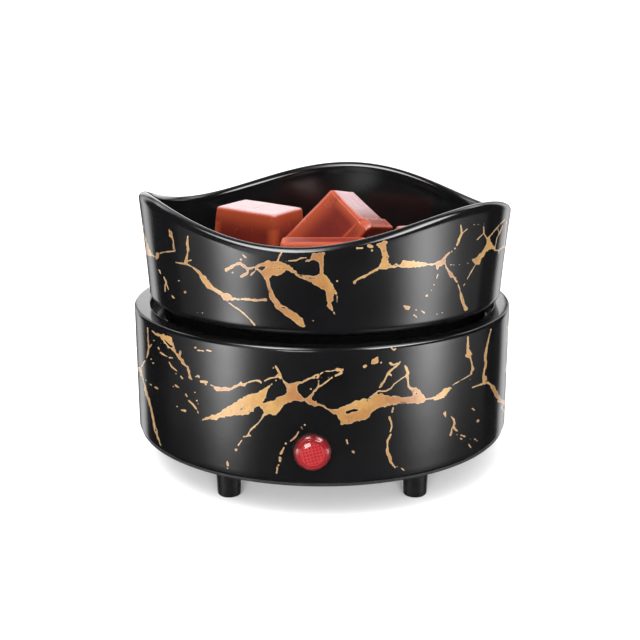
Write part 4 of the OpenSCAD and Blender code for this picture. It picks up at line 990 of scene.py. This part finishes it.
def melt(name, node, place, l, w, h, step, style, seed, painted_sheen=("z", 0.0), mat=None):
    """A moulded melt: a drafted block with rounded edges, and a low step round its wide end."""
    g = 0.088 * h
    r = 1.3
    # the last column of prof is how strongly the painted edge glow is laid on that ring
    prof = []           # (height, inset from the block's side, corner radius, how much of an edge)
    if step:
        e, q = -step, step * 0.8
        prof += [(0.0, e + q + 1.2, 1.0, 0.4), (0.0, e + q, r, 0.6)]
        prof += [(q - q * math.cos(math.radians(t)), e + q - q * math.sin(math.radians(t)), r + step, 0.8) for t in (18, 36, 54, 72, 90)]
        prof += [(2.0, e, r + step, 0.3), (3.6, e, r + step, 0.3)]
        prof += [(4.7 - q + q * math.sin(math.radians(t)), e + q - q * math.cos(math.radians(t)), r + step, 0.8) for t in (0, 18, 36, 54, 72, 90)]
        prof += [(4.74, -0.06, r + 0.08, 0.5), (4.82, -0.01, r + 0.03, 0.3), (5.1, 0.0, r, 0.1)]
    else:
        prof += [(0.0, r, 0.6, 0.4)] + [(r - r * math.cos(math.radians(t)), r - r * math.sin(math.radians(t)), r, 0.7) for t in (15, 30, 45, 60, 75, 90)]
    z0 = prof[-1][0]
    z1 = h - r
    for i in range(1, 13):
        z = z0 + (z1 - z0) * i / 13
        prof.append((z, 0.0, r, math.exp(-((z1 - z) / 3.8) ** 2)))
    for i in range(0, 11):
        t = 90 * i / 10
        z, e = z1 + r * math.sin(math.radians(t)), r - r * math.cos(math.radians(t))
        if style == "crease":
            k = smooth01(np.array((0.5 - abs(i / 10 - 0.5)) / 0.16)).item()
            tz, te = z1 + r * i / 10, r * i / 10
            z, e = z + (tz - z) * k * 0.8, e + (te - e) * k * 0.8
        prof.append((z, e, max(0.25, r - e), 1.0))
    prof += [(h, r + 0.35, 0.22, 0.7), (h, r + 1.3, 0.2, 0.35), (h, r + 3.2, 0.2, 0.05)]
    rng = np.random.default_rng(seed)
    ph = rng.uniform(0, 6.28, 6)
    verts, faces, edges, rows, painted_sheen_values = [], [], [], [], []
    M = place
    for z, e, c, edge_glow_amount in prof:
        grow_ = g * (1 - min(1, max(0, (z - r) / max(0.1, h - 2 * r))))
        a, b = l / 2 + grow_ - e, w / 2 + grow_ - e
        cc = c if e <= 0 or c >= 0.9 else c
        pts, edge_glow = ring(a, b, cc, style)
        rows.append(list(range(len(verts), len(verts) + len(pts))))
        for (x, y), q in zip(pts, edge_glow):
            # slow unevenness of cast wax
            d = 0.05 * math.sin(0.33 * x + 0.41 * z + ph[0]) + 0.04 * math.sin(0.47 * y - 0.29 * z + ph[1])
            k = 1 + d / max(6.0, math.hypot(x, y)) - 0.004
            verts.append(M @ Vector((x * k, y * k, z + 0.03 * math.sin(0.5 * x + 0.4 * y + ph[2]) * (1 if z > 1 else 0) - (0.03 if z > 1 else 0))))
            # painted edge glow for this point
            edges.append(max(q if edge_glow_amount < 0.35 else 0, edge_glow_amount) if z < h - 0.01 or edge_glow_amount > 0.2 else edge_glow_amount)
            # painted sheen: full on the top face, or on the +x face, fading in towards it
            far = (z - (h - 0.5 * r)) / (0.45 * r) if painted_sheen[0] == "z" else (x - (l / 2 + g * (1 - z / h) - 0.5 * r)) / (0.4 * r) * (1 if z > 4.9 else 0.5)
            painted_sheen_values.append(painted_sheen[1] * float(smooth01(np.array(far))) * (1.0 if painted_sheen[0] == "z" else float(smooth01(np.array((z - 2.0) / 11.0)))))
    n = len(rows[0])
    for a, b in zip(rows, rows[1:]):
        for k in range(n):
            faces.append([a[k], a[(k + 1) % n], b[(k + 1) % n], b[k]])
    faces.append(rows[0][::-1])
    # close the top with shrinking rings so that it stays flat and evenly meshed
    cz = sum((verts[i] for i in rows[-1]), Vector((0, 0, 0))) / n
    last = rows[-1]
    for f in (0.66, 0.33):
        row = []
        for i in rows[-1]:
            row.append(len(verts))
            verts.append(cz + (verts[i] - cz) * f)
            edges.append(0.0)
            painted_sheen_values.append(painted_sheen[1] if painted_sheen[0] == "z" else 0.0)
        for k in range(n):
            faces.append([last[k], last[(k + 1) % n], row[(k + 1) % n], row[k]])
        last = row
    faces.append(last)
    o = make_obj(name, [v * MM for v in verts], faces, mat or WAX, True, 60)
    fix_normals(o)
    shade(o, True, 60)
    at = o.data.attributes.new("edge", "FLOAT", "POINT")
    at.data.foreach_set("value", np.array(edges, np.float32))
    at = o.data.attributes.new("painted_sheen", "FLOAT", "POINT")
    at.data.foreach_set("value", np.array(painted_sheen_values, np.float32))
    wn = o.modifiers.new("weighted", "WEIGHTED_NORMAL")
    wn.mode = "FACE_AREA"
    wn.keep_sharp = True
    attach(o, "wax_melts")
    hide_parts(node)
    return o


def place(t, e=(0, 0, 0)):
    rx, ry, rz = (math.radians(a) for a in e)
    return Matrix.Translation(t) @ Matrix.Rotation(rz, 4, "Z") @ Matrix.Rotation(ry, 4, "Y") @ Matrix.Rotation(rx, 4, "X")


# the last pair of each melt says which face gets the painted sheen and how strongly
melt("melt_left", "wax_melt_left", place((-22.3, 16, 57.8), (2, 1.5, -36)), 27, 17, 26.5, 0.55, "round", 1, ("z", 1.0))
melt("melt_tilted", "wax_melt_tilted", place((10.27, -7.79, 70.32), (-14.5, -46, -15.8)), 26, 17, 20, 0.7, "crease", 2, ("x", 1.0))
melt("melt_front", "wax_melt_front", place((0.5, -25, 57.2)), 28, 11.8, 22.7, 0, "round", 3, ("z", 0.0), WAX_DULL)
melt("melt_right", "wax_melt_right", place((32.5, -8, 57.2), (0, 0, 20)), 12, 13, 23.6, 0, "round", 4, ("z", 0.25))

# ------------------------------------------------------------------ button
BX, BZ = -3.0, 22.6


def button_point(theta, r, y):
    return np.stack([BX + r * np.cos(theta), y + 0 * theta, BZ + r * np.sin(theta)], -1)


L = 5.63
lens_prof = ([(L - 0.9, -61.4), (L, -61.4), (L, -65.6)]
             + [(L * math.cos(math.radians(4.5 * i)), -65.6 - 2.4 * math.sin(math.radians(4.5 * i))) for i in range(1, 20)] + [(0, -68.0)]
             + [(0, -67.0)] + [((L - 0.9) * math.cos(math.radians(4.5 * i)), -65.6 - 1.4 * math.sin(math.radians(4.5 * i))) for i in range(19, -1, -1)])
lens = lathe("lens_dome", [(0 if abs(r) < 1e-6 else r, y) for r, y in dense(lens_prof, 0.6)], 96, button_point, MATS["lens_red"], loop=True)
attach(lens, "button")
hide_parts("button_lens")

# lit disc: a field of small square pits inside a plain border
n = 150
half = 4.55
verts, vals, glows, keep_i = [], [], [], {}
g = np.linspace(-half, half, n)
X, Zg = np.meshgrid(g, g, indexing="ij")
rad = np.hypot(X, Zg)
ca, sa = math.cos(0.26), math.sin(0.26)
Xr, Zr = X * ca + Zg * sa, -X * sa + Zg * ca
pitch = 1.0
fx = np.abs((Xr / pitch) % 1 - 0.5) * 2
fz = np.abs((Zr / pitch) % 1 - 0.5) * 2
pit = smooth01((1 - np.maximum(fx, fz) - 0.27) / 0.3)
zone = smooth01((3.5 - np.hypot(X, Zg + 0.4)) / 0.25)
depth = 0.28 * (1 - pit) * 0 + 0.26 * pit * zone
dots = pit * zone
glow = 0.06 + 0.94 * smooth01((3.75 - np.hypot(X, Zg + 0.4)) / 0.3)
rows = -np.ones((n, n), int)
for i in range(n):
    for j in range(n):
        if rad[i, j] <= half:
            rows[i, j] = len(verts)
            verts.append((BX + X[i, j], -65.5 + depth[i, j], BZ + Zg[i, j]))
            vals.append(dots[i, j])
            glows.append(glow[i, j])
faces = []
for i in range(n - 1):
    for j in range(n - 1):
        q = [rows[i, j], rows[i + 1, j], rows[i + 1, j + 1], rows[i, j + 1]]
        q = [k for k in q if k >= 0]
        if len(q) >= 3:
            faces.append(q)
cnt = {}
for f in faces:
    for a, b in zip(f, f[1:] + f[:1]):
        cnt[(a, b)] = 1
rimv = [(a, b) for (a, b) in cnt if (b, a) not in cnt]
nt_ = len(verts)
back_of = {}
for a, b in rimv:
    for k in (a, b):
        if k not in back_of:
            back_of[k] = len(verts)
            verts.append((verts[k][0], -64.7, verts[k][2]))
            vals.append(0.0)
            glows.append(0.0)
faces += [[b, a, back_of[a], back_of[b]] for a, b in rimv]
order = []
nx_ = {a: b for a, b in rimv}
start = rimv[0][0]
k = start
while True:
    order.append(back_of[k])
    k = nx_[k]
    if k == start:
        break
faces.append(order)
diff = make_obj("lit_disc", [(x * MM, y * MM, z * MM) for x, y, z in verts], faces, MATS["diffuser_red"])
fix_normals(diff)
shade(diff)
for nm, vv in (("dot", vals), ("glow", glows)):
    at = diff.data.attributes.new(nm, "FLOAT", "POINT")
    at.data.foreach_set("value", np.array(vv, np.float32))
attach(diff, "button")
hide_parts("button_diffuser")


# ------------------------------------------------------------------ wires and spring
def tube(name, pts, r, sides, mat):
    pts = [Vector(p) for p in pts]
    t0 = (pts[1] - pts[0]).normalized()
    u = t0.cross(Vector((0.3, 0.5, 0.8))).normalized()
    verts, rows = [], []
    for i, p in enumerate(pts):
        t = (pts[min(len(pts) - 1, i + 1)] - pts[max(0, i - 1)]).normalized()
        u = (u - t * u.dot(t)).normalized()
        w = t.cross(u)
        rows.append(list(range(len(verts), len(verts) + sides)))
        for k in range(sides):
            a = 2 * math.pi * k / sides
            verts.append((p + u * (r * math.cos(a)) + w * (r * math.sin(a))) * MM)
    faces = [rows[0][::-1], rows[-1]]
    for a, b in zip(rows, rows[1:]):
        for k in range(sides):
            faces.append([a[k], a[(k + 1) % sides], b[(k + 1) % sides], b[k]])
    o = make_obj(name, verts, faces, mat, True, 50)
    fix_normals(o)
    shade(o, True, 50)
    return o


def catmull(p, n):
    out = []
    for i in range(len(p) - 1):
        a, b, c, d = (Vector(p[max(0, i - 1)]), Vector(p[i]), Vector(p[i + 1]), Vector(p[min(len(p) - 1, i + 2)]))
        for k in range(n):
            t = k / n
            out.append(0.5 * ((2 * b) + (c - a) * t + (2 * a - 5 * b + 4 * c - d) * t * t + (3 * b - a - 3 * c + d) * t ** 3))
    out.append(Vector(p[-1]))
    return out


LEADS = {
    "live_lead": [(-6, 36, 20), (-6, 31, 20), (-10, 18, 18), (-9, 0, 17.5), (-3, -18, 19), (0.5, -28, 22), (0.5, -33.6, 22.6)],
    "neutral_lead": [(6, 36, 20), (6, 31, 20), (18, 28, 18.5), (36, 22, 22), (44.5, 8, 30), (44, -6, 38), (38, -10, 41), (27, -9, 42), (18, -6, 42.3)],
    "switched_lead": [(-6.5, -33.6, 22.6), (-6.5, -29, 22.4), (-16, -24, 22), (-34, -20, 25), (-44, -10, 32), (-44.3, 4, 39), (-40.5, 15, 42), (-33, 23, 43.3), (-22, 22.5, 44), (-13, 20, 44.6), (-9.3, 20, 44.6)],
    "heater_lead": [(9.3, 20, 44.6), (10.4, 19, 44.5), (10.6, 16, 43.6), (13, 13.8, 42.6), (18, 13.4, 42), (21.3, 11, 42), (20.6, 7.4, 42.2), (18, 6, 42.3)],
}
for nm, pts in LEADS.items():
    o = tube(nm.replace("_lead", "_wire"), catmull(pts, 8), 0.88, 16, MATS[SLOT_OF[nm]])
    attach(o, "root")
    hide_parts(nm)

turns, nn = 6, 6 * 36
spring = tube("return_spring", [(BX + 3.2 * math.cos(math.radians(10 * i)), -57 + 0.35 + (12.3 - 0.7) * i / nn, BZ + 3.2 * math.sin(math.radians(10 * i))) for i in range(nn + 1)], 0.29, 12, MATS["spring_steel"])
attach(spring, "root")
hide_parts("button_spring")
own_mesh(spring)

# ------------------------------------------------------------------ floor, backdrop and light
m, nt, b = new_mat("floor")
nt.links.new(ramp(nt, noise(nt, 3, 2), [(0.3, (0.885, 0.885, 0.885)), (0.7, (0.90, 0.90, 0.90))]), b.inputs["Base Color"])
b.inputs["Roughness"].default_value = 0.9
b.inputs["Specular IOR Level"].default_value = 0.1
floor = make_obj("floor", [(-12, -12, 0), (12, -12, 0), (12, 12, 0), (-12, 12, 0)], [[0, 1, 2, 3]], m, False)
floor.visible_glossy = False

world = bpy.data.worlds.new("world")
world.use_nodes = True
bg = world.node_tree.nodes.get("Background") or world.node_tree.nodes.new("ShaderNodeBackground")
bg.inputs[0].default_value = (1, 1, 1, 1)
bg.inputs[1].default_value = 1.45
world.cycles_visibility.glossy = False
scene.world = world


def area(name, loc, target, sx, sy, watts, glossy=False, color=(1, 1, 1)):
    d = bpy.data.lights.new(name, "AREA")
    d.shape = "RECTANGLE"
    d.size, d.size_y = sx, sy
    d.energy = watts
    d.color = color
    o = bpy.data.objects.new(name, d)
    o.location = loc
    o.rotation_mode = "QUATERNION"
    o.rotation_quaternion = (Vector(target) - Vector(loc)).to_track_quat("-Z", "Y")
    o.visible_camera = False
    o.visible_glossy = glossy
    coll.objects.link(o)
    return o


area("key", (-0.30, -0.20, 1.1), (0, 0, 0.05), 1.1, 1.1, 6.0)
# a low soft light from the front that only the floor takes, so that it stays pale between the feet
low = area("floor_fill", (0, -1.482, 0.476), (0, -0.06, 0), 0.9, 0.2, 32.0)
only_floor = bpy.data.collections.new("floor_only")
only_floor.objects.link(floor)
low.light_linking.receiver_collection = only_floor


def card(name, corners, strength, horiz, vert, nu=24, nv=24):
    """A soft reflector card seen only in reflections. horiz and vert give its brightness across and up, 0 to 1."""
    a, b_, c, d = [Vector(p) for p in corners]     # bottom left, bottom right, top right, top left
    verts, e, faces = [], [], []
    for i in range(nu + 1):
        for j in range(nv + 1):
            s_, t_ = i / nu, j / nv
            verts.append((a * (1 - s_) + b_ * s_) * (1 - t_) + (d * (1 - s_) + c * s_) * t_)
            e.append(strength * horiz(s_) * vert(t_))
    for i in range(nu):
        for j in range(nv):
            k = i * (nv + 1) + j
            faces.append([k, k + nv + 1, k + nv + 2, k + 1])
    m = bpy.data.materials.new(name)
    m.use_nodes = True
    t = m.node_tree
    for q in list(t.nodes):
        t.nodes.remove(q)
    out = t.nodes.new("ShaderNodeOutputMaterial")
    em = t.nodes.new("ShaderNodeEmission")
    at_ = t.nodes.new("ShaderNodeAttribute")
    at_.attribute_name = "e"
    t.links.new(at_.outputs["Fac"], em.inputs["Strength"])
    t.links.new(em.outputs[0], out.inputs[0])
    m.cycles.emission_sampling = "NONE"
    o = make_obj(name, verts, faces, m, False)
    w = o.data.attributes.new("e", "FLOAT", "POINT")
    w.data.foreach_set("value", np.array(e, np.float32))
    o.visible_camera = o.visible_diffuse = o.visible_shadow = o.visible_transmission = o.visible_volume_scatter = False
    return o


def reflected(px, z, t):
    """Where the view ray of that pixel column goes, t millimetres after it meets the base's wall at height z, seen from above."""
    lo_, hi_ = -math.pi, 0.0
    best, bt = 1e9, 0
    for th in np.linspace(-math.pi + 0.02, -0.02, 4000):
        p = np.array([65 * math.cos(th), 65 * math.sin(th), z])
        n_ = np.array([math.cos(th), math.sin(th), 0])
        if ((np.array([CX, CY, CZ]) - p) * n_).sum() <= 0:
            continue
        u, _ = proj(p)
        if abs(u - px) < best:
            best, bt = abs(u - px), th
    p = np.array([65 * math.cos(bt), 65 * math.sin(bt)])
    n_ = np.array([math.cos(bt), math.sin(bt)])
    d = p - np.array([CX, CY])
    d = d / np.linalg.norm(d)
    r = d - 2 * (d @ n_) * n_
    q = p + r * t
    return q[0] * MM, q[1] * MM


def bell(s_, power=1.0):
    return max(0.0, math.sin(math.pi * s_)) ** power


def side_card(name, px_a, px_b, t, z_lo, z_hi, strength, horiz, vert, nu=40, nv=24):
    """A standing card bent so that each of its columns shows in one pixel column of the base's wall."""
    cols = [reflected(px_a + (px_b - px_a) * i / nu, 45, t) for i in range(nu + 1)]
    o = card(name, [(cols[0][0], cols[0][1], z_lo), (cols[-1][0], cols[-1][1], z_lo), (cols[-1][0], cols[-1][1], z_hi), (cols[0][0], cols[0][1], z_hi)], strength,
             lambda s_: horiz(px_a + (px_b - px_a) * s_), vert, nu, nv)
    for k, v in enumerate(o.data.vertices):
        v.co.x, v.co.y = cols[k // (nv + 1)]
    return o


def fall(lo, hi, floor_):
    return lambda t_: floor_ + (1 - floor_) * float(smooth01(np.array((t_ - lo) / (hi - lo))))


def hump(c, a, b):
    return lambda px: 0.85 * math.exp(-((px - c) / a) ** 2) + 0.15 * math.exp(-((px - c) / b) ** 2)


def steep(lo, hi, floor_, power):
    f = fall(lo, hi, floor_)
    return lambda t_: f(t_) ** power


side_card("card_left", 168, 306, 300, -0.26, 0.02, 7.2, hump(226, 17, 38), steep(0.42, 0.86, 0.12, 1.5))
side_card("card_right", 350, 486, 300, -0.26, 0.02, 6.3, hump(428, 19, 42), steep(0.42, 0.86, 0.14, 1.5))
side_card("card_edge_left", 136.6, 144.5, 300, -0.26, 0.30, 1.25, lambda px: bell((px - 136.6) / 7.9, 0.8), fall(0.0, 0.3, 0.6), 12)
side_card("card_edge_right", 500.5, 508.6, 300, -0.26, 0.30, 1.25, lambda px: bell((px - 500.5) / 8.1, 0.8), fall(0.0, 0.3, 0.6), 12)


def flat_card(name, x0, x1, y0, y1, z, strength, horiz, vert):
    card(name, [(x0, y0, z), (x1, y0, z), (x1, y1, z), (x0, y1, z)], strength, horiz, vert)


# two overhead softboxes, left and right of the middle, that draw the lines along the lips
flat_card("card_over_left", -0.44, -0.05, -0.78, 0.02, 0.66, 17.0, lambda s_: bell(s_, 1.0), lambda t_: bell(t_, 0.35))
flat_card("card_over_right", 0.16, 0.74, -1.02, 0.02, 0.66, 17.0, lambda s_: bell(s_, 1.0), lambda t_: bell(t_, 0.35))
# high and low rear softboxes for the crest of the rim and the flat tops
card("card_high", [(-0.75, 0.95, 0.62), (0.75, 0.95, 0.62), (0.75, 0.42, 0.86), (-0.75, 0.42, 0.86)], 3.2, lambda s_: 1.0 - 0.85 * bell(s_, 2.0), lambda t_: bell(t_, 0.6))
card("card_rear", [(-0.55, 0.95, 0.05), (0.55, 0.95, 0.05), (0.55, 0.95, 0.50), (-0.55, 0.95, 0.50)], 1.9, lambda s_: 0.6 + 0.4 * bell(s_, 1.0), lambda t_: bell(t_, 0.4))
# a window that shows in the button's dome, and a dim flag that keeps it out of the dish
d_ = Vector((-0.283, -0.935, 0.216)).normalized()
c_ = Vector((-0.003, -0.068, 0.0226)) + d_ * 0.3
ex_ = Vector((0, 0, 1)).cross(d_).normalized()
ey_ = d_.cross(ex_).normalized()
ca_, sa_ = math.cos(math.radians(27)), math.sin(math.radians(27))
sx_, sy_ = (ex_ * ca_ + ey_ * sa_) * 0.055, (ey_ * ca_ - ex_ * sa_) * 0.045
card("card_window", [c_ - sx_ - sy_, c_ + sx_ - sy_, c_ + sx_ + sy_, c_ - sx_ + sy_], 15.0, lambda s_: 1.0, lambda t_: 1.0, 2, 2)
card("flag", [(-0.115, -0.10, 0.060), (0.035, -0.10, 0.060), (0.035, -0.10, 0.112), (-0.115, -0.10, 0.112)], 1.2, lambda s_: math.exp(-((s_ - 0.34) / 0.2) ** 2), lambda t_: 1.0)
# strips that give the rear its own highlights
for k_, az in enumerate((163, 197)):
    a_ = math.radians(az)
    c_ = Vector((math.sin(a_), -math.cos(a_), 0)) * 0.62
    s_v = Vector((math.cos(a_), math.sin(a_), 0)) * 0.07
    card("card_back_%d" % k_, [c_ - s_v + Vector((0, 0, -0.5)), c_ + s_v + Vector((0, 0, -0.5)), c_ + s_v + Vector((0, 0, -0.02)), c_ - s_v + Vector((0, 0, -0.02))], 5.0, lambda s_: bell(s_, 1.5), lambda t_: bell(t_, 0.5))
